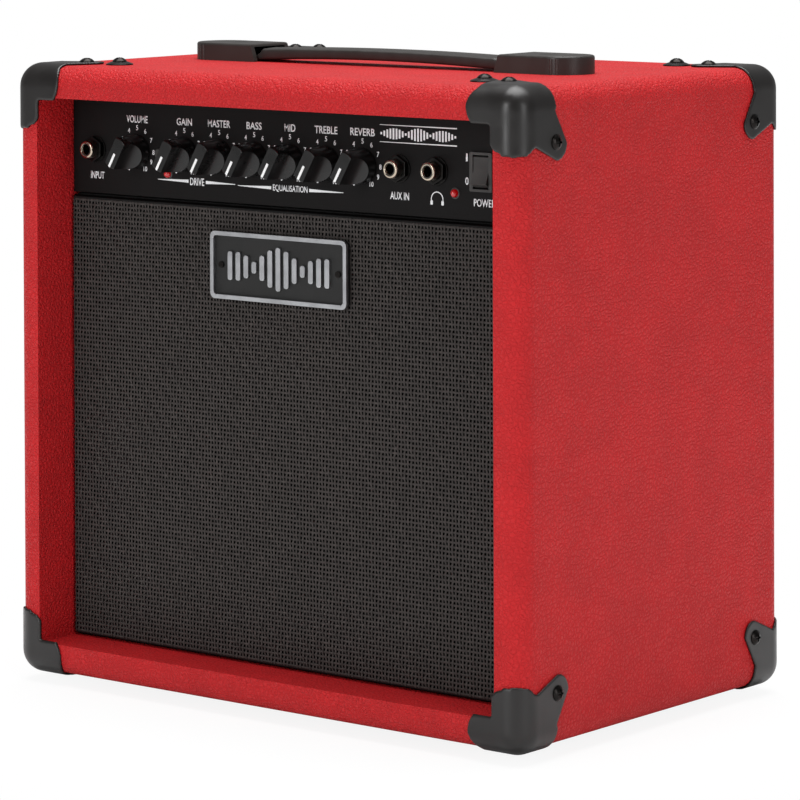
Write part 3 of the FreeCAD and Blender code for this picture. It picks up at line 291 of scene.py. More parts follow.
def metal(name, colour, roughness=0.3, brush=(1, 1, 1), stain=0.1):
    """Metal with brush lines along the axis whose stretch is smallest, and slight staining."""
    s = Shader(name)
    lines = s.noise(0.35 * MM, 3, s.stretch(*brush))
    cloud = s.noise(11 * MM, 4)
    body = s.blend(s.remap(cloud, 0.35, 0.7), colour, tinted(colour, 1 - stain * 2))
    rough = s.math("ADD", s.remap(lines, 0.3, 0.7, -0.07, 0.07), roughness)
    return s.finish(body, rough, s.relief(lines, BRUSH_DEPTH), metal=1.0)


def timber(name, light, dark, along):
    """Board with rings drawn out along its grain and small dark pores."""
    s = Shader(name)
    drawn = s.stretch(*along)
    rings = s.noise(16 * MM, 6, drawn)
    pores = s.noise(0.9 * MM, 2, drawn)
    body = s.blend(s.remap(rings, 0.35, 0.65), dark, light)
    body = s.blend(s.remap(pores, 0.62, 0.75, 0.0, 0.5), body, tinted(dark, 0.6))
    return s.finish(body, 0.6, s.relief(pores, 0.06 * MM))


def leather_vinyl(name, colour):
    """Embossed covering: rounded pebbles with narrow valleys, and smaller creases inside them, with painted
    shade down in the valleys.
    """
    s = Shader(name)
    place = s.warped(3.2 * MM, 1.3 * MM)
    valleys = s.cells(GRAIN_CELL, "DISTANCE_TO_EDGE", place)
    pebbles = s.remap(valleys, 0.0, 0.30)
    folds = s.cells(GRAIN_CELL * 0.55, "DISTANCE_TO_EDGE", s.warped(1.6 * MM, 0.8 * MM))
    creases = s.remap(folds, 0.0, 0.22)
    patches = s.noise(26 * MM, 4)
    height = s.math("ADD", s.math("MULTIPLY", pebbles, 0.75), s.math("MULTIPLY", creases, 0.25))
    normal = s.relief(height, GRAIN_DEPTH)
    normal = s.relief(s.noise(0.5 * MM, 3), 0.03 * MM, 0.6, normal)
    body = s.blend(s.remap(patches, 0.3, 0.7), tinted(colour, 0.93), tinted(colour, 1.06))
    # painted shade: colour darker down in the grain's valleys and creases
    body = s.blend(s.remap(height, 0.0, 0.55, 0.34, 0.0), body, tinted(colour, 0.55))
    rough = s.remap(height, 0.0, 1.0, 0.66, 0.48)
    return s.finish(body, rough, normal, Specular_IOR_Level=0.22)


def woven_thread(name, colour):
    """Twisted yarn: fine fibres along the thread and uneven dye."""
    s = Shader(name)
    fibre = s.noise(0.28 * MM, 3)
    dye = s.noise(5 * MM, 5)
    slub = s.noise(2.3 * MM, 3)
    body = s.blend(s.remap(dye, 0.3, 0.7), tinted(colour, 0.75), tinted(colour, 1.25))
    body = s.blend(s.remap(fibre, 0.35, 0.7), tinted(colour, 0.5), body)
    body = s.blend(s.remap(slub, 0.5, 0.75, 0.0, 0.5), body, tinted(colour, 1.7))
    return s.finish(body, 0.7, s.relief(fibre, 0.1 * MM), Specular_IOR_Level=0.25)


def cloth_backing(name, colour):
    """The dark scrim seen between the threads: a backing whose near-black tone is partly painted shade in the
    gaps.
    """
    s = Shader(name)
    mesh = s.noise(0.8 * MM, 2)
    body = s.blend(mesh, tinted(colour, 0.5), tinted(colour, 1.5))
    return s.finish(body, 0.95, s.relief(mesh, 0.1 * MM), Specular_IOR_Level=0.05)


def painted_steel(name, colour, roughness=0.45, depth=0.03 * MM, size=0.5 * MM, shine=0.28):
    """Powder coat: an even orange-peel skin with a few dust nibs."""
    s = Shader(name)
    peel = s.noise(size, 2)
    dust = s.noise(4 * MM, 6)
    body = s.blend(s.remap(dust, 0.55, 0.8), colour, tinted(colour, 1.5))
    rough = s.remap(peel, 0.3, 0.7, roughness - 0.05, roughness + 0.07)
    return s.finish(body, rough, s.relief(peel, depth), Specular_IOR_Level=shine)


def lamp_plastic(name, colour):
    """Clear coloured plastic with a darker heart."""
    s = Shader(name)
    swirl = s.noise(1.2 * MM, 2)
    body = s.blend(swirl, tinted(colour, 0.7), tinted(colour, 1.2))
    rough = s.remap(swirl, 0.3, 0.7, 0.1, 0.2)
    return s.finish(
        body, rough, s.relief(swirl, 0.02 * MM), Transmission_Weight=0.35, Coat_Weight=0.6,
        Emission_Color=colour, Emission_Strength=0.12,
    )


def circuit_laminate(name, colour):
    """Solder mask over copper tracks."""
    s = Shader(name)
    tracks = s.cells(7 * MM, "DISTANCE_TO_EDGE")
    share = s.remap(tracks, 0.06, 0.1)
    body = s.blend(share, tinted(colour, 1.7), colour)
    return s.finish(body, s.remap(share, 0, 1, 0.35, 0.5), s.relief(tracks, 0.03 * MM))


def pressed_paper(name, colour):
    """Loudspeaker paper: long random fibres in a dark felt."""
    s = Shader(name)
    fibres = s.noise(1.1 * MM, 5)
    body = s.blend(s.remap(fibres, 0.35, 0.75), tinted(colour, 0.7), tinted(colour, 1.9))
    return s.finish(body, 0.85, s.relief(fibres, 0.12 * MM))


def spun_cloth(name, colour):
    """Resin-dipped cotton with a plain weave."""
    s = Shader(name)
    weave = s.cells(0.8 * MM, "F1")
    body = s.blend(s.remap(weave, 0.1, 0.6), tinted(colour, 1.25), tinted(colour, 0.6))
    return s.finish(body, 0.7, s.relief(weave, 0.12 * MM))


def printing_ink(name, colour):
    """Screen print: slightly uneven and a little worn."""
    s = Shader(name)
    cover = s.noise(0.7 * MM, 4)
    body = s.blend(s.remap(cover, 0.3, 0.5), tinted(colour, 0.72), colour)
    return s.finish(body, 0.5, s.relief(cover, 0.01 * MM))


def tray_steel(name):
    return metal(name, rgb(150, 152, 155), 0.38, (1, 40, 40), stain=0.04)


def slot_materials():
    """One finish for each material slot in the record."""
    return {
        "wood_board": timber("wood_board", rgb(172, 140, 100), rgb(120, 90, 58), (0.12, 1, 1)),
        "board_black": painted_steel("board_black", rgb(14, 13, 13), 0.8, 0.1 * MM, 1.4 * MM),
        "vinyl_red": leather_vinyl("vinyl_red", rgb(178, 24, 28)),
        # near-black backing: partly the cloth's own colour, partly painted shade between the threads
        "grille_cloth": cloth_backing("grille_cloth", rgb(3, 2, 2)),
        "badge_black": moulded("badge_black", rgb(8, 8, 8), 0.55, 0.25 * MM, 0.03 * MM),
        "badge_silver": metal("badge_silver", rgb(172, 173, 176), 0.36, (1, 1, 30)),
        "protector_black": moulded("protector_black", rgb(15, 12, 11), 0.36, 0.8 * MM, 0.012 * MM, 1.3, 0.42),
        "screw_black": metal("screw_black", rgb(36, 34, 33), 0.28),
        "handle_plastic": moulded("handle_plastic", rgb(38, 35, 33), 0.38, 0.6 * MM, 0.012 * MM, 1.3),
        "handle_rubber": rubber("handle_rubber", rgb(38, 35, 33), 0.42),
        "foot_rubber": rubber("foot_rubber", rgb(26, 26, 26)),
        "rear_board": painted_steel("rear_board", rgb(24, 23, 23), 0.62, 0.1 * MM, 1.4 * MM),
        "panel_black": painted_steel("panel_black", rgb(11, 9, 9), 0.62, 0.015 * MM, 0.45 * MM, 0.12),
        "tray_steel": tray_steel("tray_steel"),
        "washer_black": metal("washer_black", rgb(40, 39, 38), 0.34),
        "jack_black": moulded("jack_black", rgb(20, 20, 20), 0.4),
        # knobs get the palest edges: wear and a painted highlight along the grip's rim
        "knob_black": moulded("knob_black", rgb(13, 12, 12), 0.3, 0.3 * MM, 0.008 * MM, 1.6),
        "led_red": lamp_plastic("led_red", rgb(190, 12, 16)),
        "switch_black": moulded("switch_black", rgb(44, 42, 41), 0.42),
        "pot_metal": metal("pot_metal", rgb(178, 176, 168), 0.32, (20, 1, 20)),
        "pcb_green": circuit_laminate("pcb_green", rgb(18, 70, 38)),
        "component_dark": moulded("component_dark", rgb(24, 26, 34), 0.35),
        "heatsink_alu": metal("heatsink_alu", rgb(186, 188, 190), 0.42, (1, 1, 25)),
        "transformer_iron": painted_steel("transformer_iron", rgb(70, 62, 50), 0.5),
        "basket_black": painted_steel("basket_black", rgb(30, 30, 31), 0.4),
        "magnet_ferrite": painted_steel("magnet_ferrite", rgb(52, 51, 52), 0.55, 0.06 * MM),
        "surround_rubber": rubber("surround_rubber", rgb(24, 23, 23)),
        "cone_paper": pressed_paper("cone_paper", rgb(30, 28, 27)),
        "spider_cloth": spun_cloth("spider_cloth", rgb(150, 108, 52)),
        "coil_former": metal("coil_former", rgb(176, 140, 96), 0.4),
    }


# ---------------------------------------------------------------- mesh helpers
def make_object(name, vertices, faces, materials, smooth=True, indices=None):
    """A mesh object from plain vertex and face lists."""
    mesh = bpy.data.meshes.new(name)
    mesh.from_pydata(vertices, [], faces)
    for material in materials:
        mesh.materials.append(material)
    if smooth:
        mesh.polygons.foreach_set("use_smooth", [True] * len(faces))
    if indices is not None:
        mesh.polygons.foreach_set("material_index", indices)
    mesh.update()
    piece = bpy.data.objects.new(name, mesh)
    bpy.context.scene.collection.objects.link(piece)
    return piece


def recalculated(piece):
    """The piece with all its faces turned outward."""
    work = bmesh.new()
    work.from_mesh(piece.data)
    bmesh.ops.recalc_face_normals(work, faces=work.faces)
    work.to_mesh(piece.data)
    work.free()
    return piece


def soften(piece, width):
    """Rounds the sharp edges of a piece without touching its mesh."""
    weld = piece.modifiers.new("weld", "WELD")
    weld.merge_threshold = WELD_REACH
    bevel = piece.modifiers.new("bevel", "BEVEL")
    bevel.width = width
    bevel.segments = 2
    bevel.limit_method = "ANGLE"
    bevel.angle_limit = math.radians(30)
    bevel.use_clamp_overlap = True
    bevel.harden_normals = False
    normals = piece.modifiers.new("normals", "WEIGHTED_NORMAL")
    normals.keep_sharp = False
    normals.weight = 80
    return piece


def keep(piece, body, slot, *stands_for):
    """Puts a new piece on its body and hides the CAD nodes it stands for. The slot argument is not used."""
    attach(piece, body)
    if stands_for:
        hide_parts(*stands_for)
    return piece


def turned(name, profile, centre, axis, materials, sides=48, picks=None):
    """A turned piece: profile holds (radius, distance along axis) points; axis is -1 or +1 along Y."""
    vertices = []
    faces = []
    indices = []
    for side in range(sides):
        angle = 2 * math.pi * side / sides
        for radius, along in profile:
            x = centre[0] + radius * math.cos(angle)
            z = centre[2] + radius * math.sin(angle)
            vertices.append((x, centre[1] + axis * along, z))
    count = len(profile)
    for side in range(sides):
        here = side * count
        after = (side + 1) % sides * count
        for step in range(count - 1):
            faces.append((here + step, here + step + 1, after + step + 1, after + step))
            indices.append(picks[step] if picks else 0)
    return recalculated(make_object(name, vertices, faces, materials, True, indices))


def middle(node):
    low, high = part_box(node)
    return (low + high) / 2


# ---------------------------------------------------------------- CAD nodes that stay
def dress_cad_nodes(materials):
    """Every CAD node gets the finish of its slot, and moulded or pressed ones get softer edges."""
    for node in NODES.values():
        slots = node.data.materials
        for index, old in enumerate(slots):
            slots[index] = materials[old.name.split(".")[0]]
    edges = {
        "badge_plate": 0.2, "badge_trim": 0.5, "badge_rivets": 0.25, "jack_nuts": 0.35,
        "jack_washers": 0.2, "power_switch_housing": 0.35, "power_rocker": 0.4, "cup_washers": 0.2,
        "rear_panel_upper": 0.8, "rear_panel_lower": 0.8, "rubber_feet": 0.5, "mains_inlet": 0.4,
        "board_components": 0.3, "heatsink": 0.2, "mains_transformer": 0.5, "chassis_tray": 0.2,
    }
    for name, width in edges.items():
        soften(NODES[name], width * MM)


# ---------------------------------------------------------------- corner protectors
def moulded_over(node, material):
    """The protectors of a CAD node recast with soft edges: remeshed finely, then smoothed."""
    source = NODES[node]
    piece = bpy.data.objects.new(node + "_moulded", source.data.copy())
    bpy.context.scene.collection.objects.link(piece)
    weld = piece.modifiers.new("weld", "WELD")
    weld.merge_threshold = WELD_REACH
    remesh = piece.modifiers.new("remesh", "REMESH")
    remesh.mode = "VOXEL"
    remesh.voxel_size = PROTECTOR_VOXEL
    remesh.use_smooth_shade = True
    smooth = piece.modifiers.new("smooth", "SMOOTH")
    smooth.factor = 0.5
    smooth.iterations = PROTECTOR_SMOOTHING
    bpy.context.view_layer.update()
    graph = bpy.context.evaluated_depsgraph_get()
    mesh = bpy.data.meshes.new_from_object(piece.evaluated_get(graph), depsgraph=graph)
    piece.modifiers.clear()
    piece.data = mesh
    mesh.materials.clear()
    mesh.materials.append(material)
    return keep(piece, "cabinet", "protector_black", node)


# ---------------------------------------------------------------- grille cloth
def cloth_point(x, z, lift, box_low, box_high):
    """A point of the cloth: flat in the middle and turned back round the frame's edges."""
    radius = CLOTH_EDGE_RADIUS
    near_x = max(0.0, radius - min(x - box_low.x, box_high.x - x))
    near_z = max(0.0, radius - min(z - box_low.z, box_high.z - z))
    reach = min(radius, math.hypot(near_x, near_z))
    drop = radius - math.sqrt(radius * radius - reach * reach)
    return (x, box_low.y + drop - lift, z)


def thread(path, across, rows, faces, vertices):
    """Adds a flat thread with a raised middle: path holds (centre, lift), across is its half width."""
    base = len(vertices)
    for point, lift in path:
        for share in (-1, 0, 1):
            crown = THREAD_CROWN if share == 0 else 0.0
            vertices.append(rows(point, share * across, lift + crown))
    for step in range(len(path) - 1):
        for side in (0, 1):
            a = base + step * 3 + side
            faces.append((a, a + 1, a + 4, a + 3))


def twill_lift(warp, weft, is_warp):
    """How far a thread stands out where a warp and a weft cross."""
    warp_on_top = (warp + weft) % TWILL < TWILL / 2
    return THREAD_RISE if warp_on_top == is_warp else -THREAD_RISE


def grille_weave(material):
    """The woven face: every warp and weft as its own ribbon, over two and under two."""
    low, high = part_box("grille_cloth")
    vertices = []
    faces = []
    level = THREAD_RISE + THREAD_CROWN
    inset = 0.1 * MM
    warps = int((high.x - low.x - 2 * inset) / WARP_PITCH)
    wefts = int((high.z - low.z - 2 * inset) / WEFT_PITCH)
    left = (low.x + high.x - (warps - 1) * WARP_PITCH) / 2
    foot = (low.z + high.z - (wefts - 1) * WEFT_PITCH) / 2

    def on_cloth(x, z, lift):
        x = min(max(x, low.x + inset), high.x - inset)
        z = min(max(z, low.z + inset), high.z - inset)
        return cloth_point(x, z, lift - level, low, high)

    for warp in range(warps):
        x = left + warp * WARP_PITCH
        path = []
        for weft in range(wefts):
            lift = twill_lift(warp, weft, True)
            path.append((foot + (weft - 0.27) * WEFT_PITCH, lift))
            path.append((foot + (weft + 0.27) * WEFT_PITCH, lift))
        thread(path, WARP_WIDTH / 2, lambda at, off, lift, x=x: on_cloth(x + off, at, lift), faces, vertices)
    for weft in range(wefts):
        z = foot + weft * WEFT_PITCH
        path = []
        for warp in range(warps):
            lift = twill_lift(warp, weft, False)
            path.append((left + (warp - 0.22) * WARP_PITCH, lift))
            path.append((left + (warp + 0.22) * WARP_PITCH, lift))
        thread(path, WEFT_WIDTH / 2, lambda at, off, lift, z=z: on_cloth(at, z + off, lift), faces, vertices)
    piece = make_object("grille_weave", vertices, faces, [material])
    return keep(piece, "cabinet", "grille_cloth", "grille_cloth")


def grille_scrim(material):
    """The dark layer behind the threads, turned back round the same edges."""
    low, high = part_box("grille_cloth")
    columns = 60
    rows = 46
    vertices = []
    for row in range(rows + 1):
        for column in range(columns + 1):
            share_x = 0.5 - 0.5 * math.cos(math.pi * column / columns)
            share_z = 0.5 - 0.5 * math.cos(math.pi * row / rows)
            x = low.x + (high.x - low.x) * share_x
            z = low.z + (high.z - low.z) * share_z
            vertices.append(cloth_point(x, z, -SCRIM_DEPTH, low, high))
    faces = []
    for row in range(rows):
        for column in range(columns):
            a = row * (columns + 1) + column
            faces.append((a, a + 1, a + columns + 2, a + columns + 1))
    piece = make_object("grille_scrim", vertices, faces, [material])
    return keep(piece, "cabinet", "grille_cloth")


# ---------------------------------------------------------------- printing on the panel
class Print:
    """Flat shapes gathered into one thin printed layer on the control panel."""

    def __init__(self, face_y):
        self.face_y = face_y
        self.work = bmesh.new()

    def lettering(self, text, x, z, height, width):
        """Text centred on (x, z), fitted to a height and a width."""
        curve = bpy.data.curves.new("lettering", "FONT")
        curve.body = text
        curve.resolution_u = 3
        curve.fill_mode = "FRONT"
        curve.offset = PRINT_SPREAD
        holder = bpy.data.objects.new("lettering", curve)
        bpy.context.scene.collection.objects.link(holder)
        bpy.context.view_layer.update()
        mesh = bpy.data.meshes.new_from_object(holder.evaluated_get(bpy.context.evaluated_depsgraph_get()))
        points = np.array([v.co for v in mesh.vertices])
        low, high = points.min(0), points.max(0)
        for vertex in mesh.vertices:
            share_x = (vertex.co.x - low[0]) / (high[0] - low[0]) - 0.5
            share_z = (vertex.co.y - low[1]) / (high[1] - low[1]) - 0.5
            vertex.co = (x + share_x * width, self.face_y, z + share_z * height)
        self.work.from_mesh(mesh)
        bpy.data.objects.remove(holder)
        bpy.data.meshes.remove(mesh)
        bpy.data.curves.remove(curve)

    def shape(self, points):
        """A flat outline given as (x, z) points."""
        corners = [self.work.verts.new((x, self.face_y, z)) for x, z in points]
        self.work.faces.new(corners)

    def finish(self, name, material):
        """The layer as a thin raised piece on the cabinet."""
        work = self.work
        bmesh.ops.remove_doubles(work, verts=work.verts, dist=0.001 * MM)
        raised = bmesh.ops.extrude_face_region(work, geom=work.faces[:])
        moved = [item for item in raised["geom"] if isinstance(item, bmesh.types.BMVert)]
        bmesh.ops.translate(work, vec=(0, -PRINT_THICKNESS, 0), verts=moved)
        bmesh.ops.recalc_face_normals(work, faces=work.faces)
        mesh = bpy.data.meshes.new(name)
        work.to_mesh(mesh)
        work.free()
        mesh.materials.append(material)
        piece = bpy.data.objects.new(name, mesh)
        bpy.context.scene.collection.objects.link(piece)
        return keep(piece, "cabinet", "panel_black")


def knob_centres():
    return {name: middle("knob_" + name) for name in KNOB_LABELS}


def print_dial(ink, centre):
    """The numbers 0 to 10 on an oval round a knob."""
    for number in range(11):
        angle = math.radians(DIAL_START + DIAL_STEP * number)
        x = centre.x + DIAL_REACH * math.sin(angle)
        upward = math.cos(angle)
        z = centre.z + (DIAL_RISE if upward > 0 else DIAL_FALL) * upward
        width = DIGIT_WIDTH * (1.7 if number == 10 else 0.6 if number == 1 else 1.0)
        ink.lettering(str(number), x, z, DIGIT_HEIGHT, width)


def tapered_lines(ink, left, right, word_left, word_right, z):
    """A line on each side of a word, thin at its outer end and thick beside the word."""
    thin = 0.15 * MM
    thick = 0.95 * MM
    gap = 1.3 * MM
    for outer, inner in ((left, word_left - gap), (right, word_right + gap)):
        ink.shape([(outer, z - thin), (inner, z - thick), (inner, z + thick), (outer, z + thin)])


def headphone_icon(ink, x, z):
    """A band over two cups."""
    steps = 18
    band = 0.55 * MM
    radius = 4.0 * MM
    drop = 2.6 * MM
    for step in range(steps):
        quad = []
        corners = ((step, radius), (step + 1, radius), (step + 1, radius + band), (step, radius + band))
        for index, reach in corners:
            angle = math.pi * index / steps
            quad.append((x + reach * math.cos(angle), z + reach * math.sin(angle)))
        ink.shape(quad)
    for side in (-1, 1):
        outer = x + side * (radius + band)
        inner = x + side * radius
        ink.shape([(outer, z), (inner, z), (inner, z - 1.0 * MM), (outer, z - 1.0 * MM)])
        cup_in = x + side * (radius - 0.9 * MM)
        cup_out = x + side * (radius + 0.9 * MM)
        top, low, cut = z - 0.7 * MM, z - 0.7 * MM - drop, 0.35 * MM
        ink.shape([
            (cup_in, top - cut), (cup_in, low + cut), (cup_in + side * cut, low), (cup_out - side * cut, low),
            (cup_out, low + cut), (cup_out, top - cut), (cup_out - side * cut, top),
            (cup_in + side * cut, top),
        ])


def sound_wave_mark(ink, left, right, z):
    """A plain row of upright bars between two rules, in the place of a name."""
    bars = 25
    pitch = (right - left) / bars
    for index in range(bars):
        place = index - (bars - 1) / 2
        swell = abs(math.cos(place * math.pi / 8)) * (1 - 0.6 * abs(place) / bars)
        half = (0.7 + 3.1 * swell) * MM
        x = left + pitch * (index + 0.5)
        wide = pitch * 0.28
        ink.shape([(x - wide, z - half), (x + wide, z - half), (x + wide, z + half), (x - wide, z + half)])
    for rule in (-5.0 * MM, 5.0 * MM):
        ink.shape([
            (left, z + rule - 0.15 * MM), (right, z + rule - 0.35 * MM),
            (right, z + rule + 0.35 * MM), (left, z + rule + 0.15 * MM),
        ])


def panel_print(material):
    """All printing on the control panel."""
    ink = Print(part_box("control_panel")[0].y)
    centres = knob_centres()
    for name, centre in centres.items():
        word, width = KNOB_LABELS[name]
        ink.lettering(word, centre.x, LABEL_Z, LABEL_HEIGHT, width * MM)
        print_dial(ink, centre)
    ink.lettering("INPUT", middle("jack_input").x + 1.2 * MM, LOW_LABEL_Z, LABEL_HEIGHT, 11.4 * MM)
    ink.lettering("AUX IN", middle("jack_aux").x, LOW_LABEL_Z, LABEL_HEIGHT, 14 * MM)
    headphone_icon(ink, middle("jack_phones").x, LOW_LABEL_Z - 0.5 * MM)
    rocker = middle("power_rocker")
    ink.lettering("POWER", rocker.x + 1.8 * MM, LOW_LABEL_Z - 0.8 * MM, LABEL_HEIGHT, 15.6 * MM)
    ink.lettering("1", rocker.x - 11.0 * MM, rocker.z + 8 * MM, LABEL_HEIGHT, 1.3 * MM)
    ink.lettering("0", rocker.x - 11.0 * MM, rocker.z - 5.6 * MM, LABEL_HEIGHT, 2.4 * MM)
    drive_x = (centres["gain"].x + centres["master"].x) / 2 - 3.8 * MM
    ink.lettering("DRIVE", drive_x, LOW_LABEL_Z, LABEL_HEIGHT, 11.4 * MM)
    tapered_lines(
        ink, drive_x - 32 * MM, drive_x + 30.5 * MM, drive_x - 5.7 * MM, drive_x + 5.7 * MM, LOW_LABEL_Z
    )
    tone_x = centres["middle"].x
    tone_z = LOW_LABEL_Z - 0.5 * MM
    ink.lettering("EQUALISATION", tone_x, tone_z, LABEL_HEIGHT, 27 * MM)
    tapered_lines(ink, tone_x - 41 * MM, tone_x + 41 * MM, tone_x - 13.5 * MM, tone_x + 13.5 * MM, tone_z)
    sound_wave_mark(ink, 69 * MM, 126 * MM, 349.5 * MM)
    return ink.finish("panel_print", material)


# ---------------------------------------------------------------- knobs, jacks and lamps
def knob_pointer(name, material):
    """The white line let into the top of a knob, from near its middle to its rim."""
    centre = middle("knob_" + name)
    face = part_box("knob_" + name)[0].y
    half = POINTER_WIDTH / 2
    sink = 0.6 * MM
    proud = 0.12 * MM
    outline = [(-half, POINTER_START), (half, POINTER_START), (half, POINTER_END), (-half, POINTER_END)]
    turn = Matrix.Rotation(math.radians(DIAL_START), 4, "Y")
    vertices = []
    for depth in (sink, -proud):
        for x, z in outline:
            vertices.append(turn @ Vector((x, 0, z)) + Vector((centre.x, face + depth, centre.z)))
    faces = [(0, 1, 2, 3), (7, 6, 5, 4), (0, 4, 5, 1), (1, 5, 6, 2), (2, 6, 7, 3), (3, 7, 4, 0)]
    piece = recalculated(make_object("pointer_" + name, vertices, faces, [material], False))
    soften(piece, 0.1 * MM)
    return keep(piece, "knob_" + name, "knob_black")


def jack_sleeve(name, outward, chrome, thread_steel):
    """The threaded barrel and bright rolled lip of a socket."""
    low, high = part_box("jack_" + name)
    centre = middle("jack_" + name)
    mouth = low.y if outward < 0 else high.y
    outer = 5.4 * MM
    bore = 3.05 * MM
    profile = [
        (bore, 8.0 * MM), (bore, 0.9 * MM), (bore + 0.25 * MM, 0.25 * MM), (bore + 0.8 * MM, -0.05 * MM),
        (outer - 0.7 * MM, -0.05 * MM), (outer - 0.15 * MM, 0.35 * MM), (outer, 0.9 * MM), (outer, 1.6 * MM),
    ]
    picks = [0] * (len(profile) - 1)
    pitch = 0.75 * MM
    for turn in range(6):
        start = 1.7 * MM + pitch * turn
        profile += [(outer - 0.22 * MM, start), (outer + 0.08 * MM, start + pitch / 2)]
        picks += [1, 1]
    profile.append((outer - 0.2 * MM, 6.3 * MM))
    picks.append(1)
    place = Vector((centre.x, mouth, centre.z))
    piece = turned("jack_sleeve_" + name, profile, place, -outward, [chrome, thread_steel], 48, picks)
    return keep(piece, "cabinet", "jack_black")


def lamps(material, ring_material):
    """Domed lamps, each in a thin dark collar."""
    points = [vertex.co for vertex in NODES["indicator_leds"].data.vertices]
    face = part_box("control_panel")[0].y
    radius = 2.45 * MM
    straight = 0.6 * MM
    steps = 12
    profile = [(radius, -3.0 * MM), (radius, 0.0), (radius, straight)]
    for step in range(1, steps + 1):
        angle = math.pi / 2 * step / steps
        profile.append((radius * math.cos(angle), straight + radius * math.sin(angle)))
    collar = [
        (2.5 * MM, -0.5 * MM), (2.5 * MM, 0.35 * MM), (2.75 * MM, 0.55 * MM),
        (3.2 * MM, 0.4 * MM), (3.4 * MM, 0.0),
    ]
    for index, side in enumerate((-1, 1)):
        group = [point for point in points if point.x * side > 0]
        x = (min(point.x for point in group) + max(point.x for point in group)) / 2
        z = (min(point.z for point in group) + max(point.z for point in group)) / 2
        place = Vector((x, face, z))
        lamp = turned(f"lamp_{index}", profile, place, -1, [material], 40)
        keep(lamp, "cabinet", "led_red", *(["indicator_leds"] if index == 0 else []))
        ring = turned(f"lamp_collar_{index}", collar, place, -1, [ring_material], 32)
        keep(ring, "cabinet", "switch_black")


# ---------------------------------------------------------------- handle strap
def grip_section(x, under, over, middle_y, half_width):
    """One cross-section of the strap: flat faces, tight corners and a crowned top with two grooves."""
    thick = over - under
    outline = []
    for index in range(GRIP_SIDES):
        angle = 2 * math.pi * index / GRIP_SIDES
        across = math.copysign(abs(math.cos(angle)) ** 0.26, math.cos(angle)) * half_width
        upward = math.copysign(abs(math.sin(angle)) ** 0.36, math.sin(angle))
        crown = 1 - 0.1 * (across / half_width) ** 2 if upward > 0 else 1.0
        height = under + thick * (0.5 + 0.5 * upward * crown)
        if upward > 0.6:
            groove = math.exp(-((abs(across) - GRIP_GROOVE_Y) / GRIP_GROOVE_WIDTH) ** 2)
            height -= GRIP_GROOVE_DEPTH * groove * min(1.0, thick / GRIP_SHOULDER)
        outline.append((x, middle_y + across, height))
    return outline


def handle_grip(material):
    """The flexible strap: an arched moulding that steps down to thin tongues in the end caps."""
    low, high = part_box("handle_strap")
    middle_y = (low.y + high.y) / 2
    half_width = (high.y - low.y) / 2
    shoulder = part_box("handle_cap_right")[0].x - 1.5 * MM
    crest = high.z - low.z
    vertices = []
    faces = []
    for station in range(GRIP_STATIONS + 1):
        x = high.x * (2 * station / GRIP_STATIONS - 1)
        bend = 1 - min(1.0, abs(x) / shoulder) ** 2
        under = low.z + GRIP_ARCH * bend
        over = low.z + GRIP_SHOULDER + (crest - GRIP_SHOULDER) * bend
        step_down = min(1.0, max(0.0, abs(x) - shoulder) / GRIP_STEP)
        over -= (GRIP_SHOULDER - GRIP_TONGUE) * step_down
        vertices += grip_section(x, under, over, middle_y, half_width)
    for station in range(GRIP_STATIONS):
        for index in range(GRIP_SIDES):
            after = (index + 1) % GRIP_SIDES
            a = station * GRIP_SIDES
            b = a + GRIP_SIDES
            faces.append((a + index, a + after, b + after, b + index))
    faces.append(tuple(range(GRIP_SIDES))[::-1])
    faces.append(tuple(GRIP_STATIONS * GRIP_SIDES + index for index in range(GRIP_SIDES)))
    piece = recalculated(make_object("handle_grip", vertices, faces, [material]))
    return keep(piece, "handle_strap", "handle_rubber", "handle_strap")


# ---------------------------------------------------------------- loudspeaker
def flexing_ring(name, node, profile, material):
    """A turned ring that takes the place of a CAD node, which it hides.

    profile holds (radius, depth from the node's front) points, from the outer edge inward and back.
    """
    centre = middle(node)
    place = Vector((centre.x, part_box(node)[0].y, centre.z))
    piece = turned(name, profile, place, 1, [material], 120)
    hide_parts(node)
    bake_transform(piece)
    return piece


def speaker_surround(material):
    """The half-roll round the cone, with a flat lip under the basket's rim."""
    low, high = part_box("speaker_surround")
    rim = (high.x - low.x) / 2
    depth = high.y - low.y
    steps = 16
    thickness = 0.7 * MM
    lip = 2.3 * MM
    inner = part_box("speaker_cone")[1].x + 0.1 * MM
    outer = rim - lip
    centre = (inner + outer) / 2
    roll = (outer - inner) / 2
    back = depth - thickness
    front = [(rim, back)]
    rear = []
    for step in range(steps + 1):
        angle = math.pi * step / steps
        front.append((centre + roll * math.cos(angle), back * (1 - math.sin(angle))))
        inside = roll - thickness
        rear.append((centre + inside * math.cos(angle), back + thickness - back * math.sin(angle)))
    profile = front + rear[::-1] + [(rim, depth), (rim, back)]
    return flexing_ring("surround_roll", "speaker_surround", profile, material)


def speaker_spider(material):
    """The corrugated disc that centres the coil."""
    low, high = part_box("speaker_spider")
    outer = (high.x - low.x) / 2
    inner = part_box("voice_coil")[1].x
    depth = high.y - low.y
    thickness = 0.45 * MM
    waves = 5
    steps = 60
    swing = (depth - thickness) / 2
    front = []
    for step in range(steps + 1):
        share = step / steps
        wave = math.cos(2 * math.pi * waves * share)
        front.append((outer + (inner - outer) * share, swing - swing * wave))
    rear = [(radius, place + thickness) for radius, place in front[::-1]]
    return flexing_ring("spider_disc", "speaker_spider", front + rear + front[:1], material)


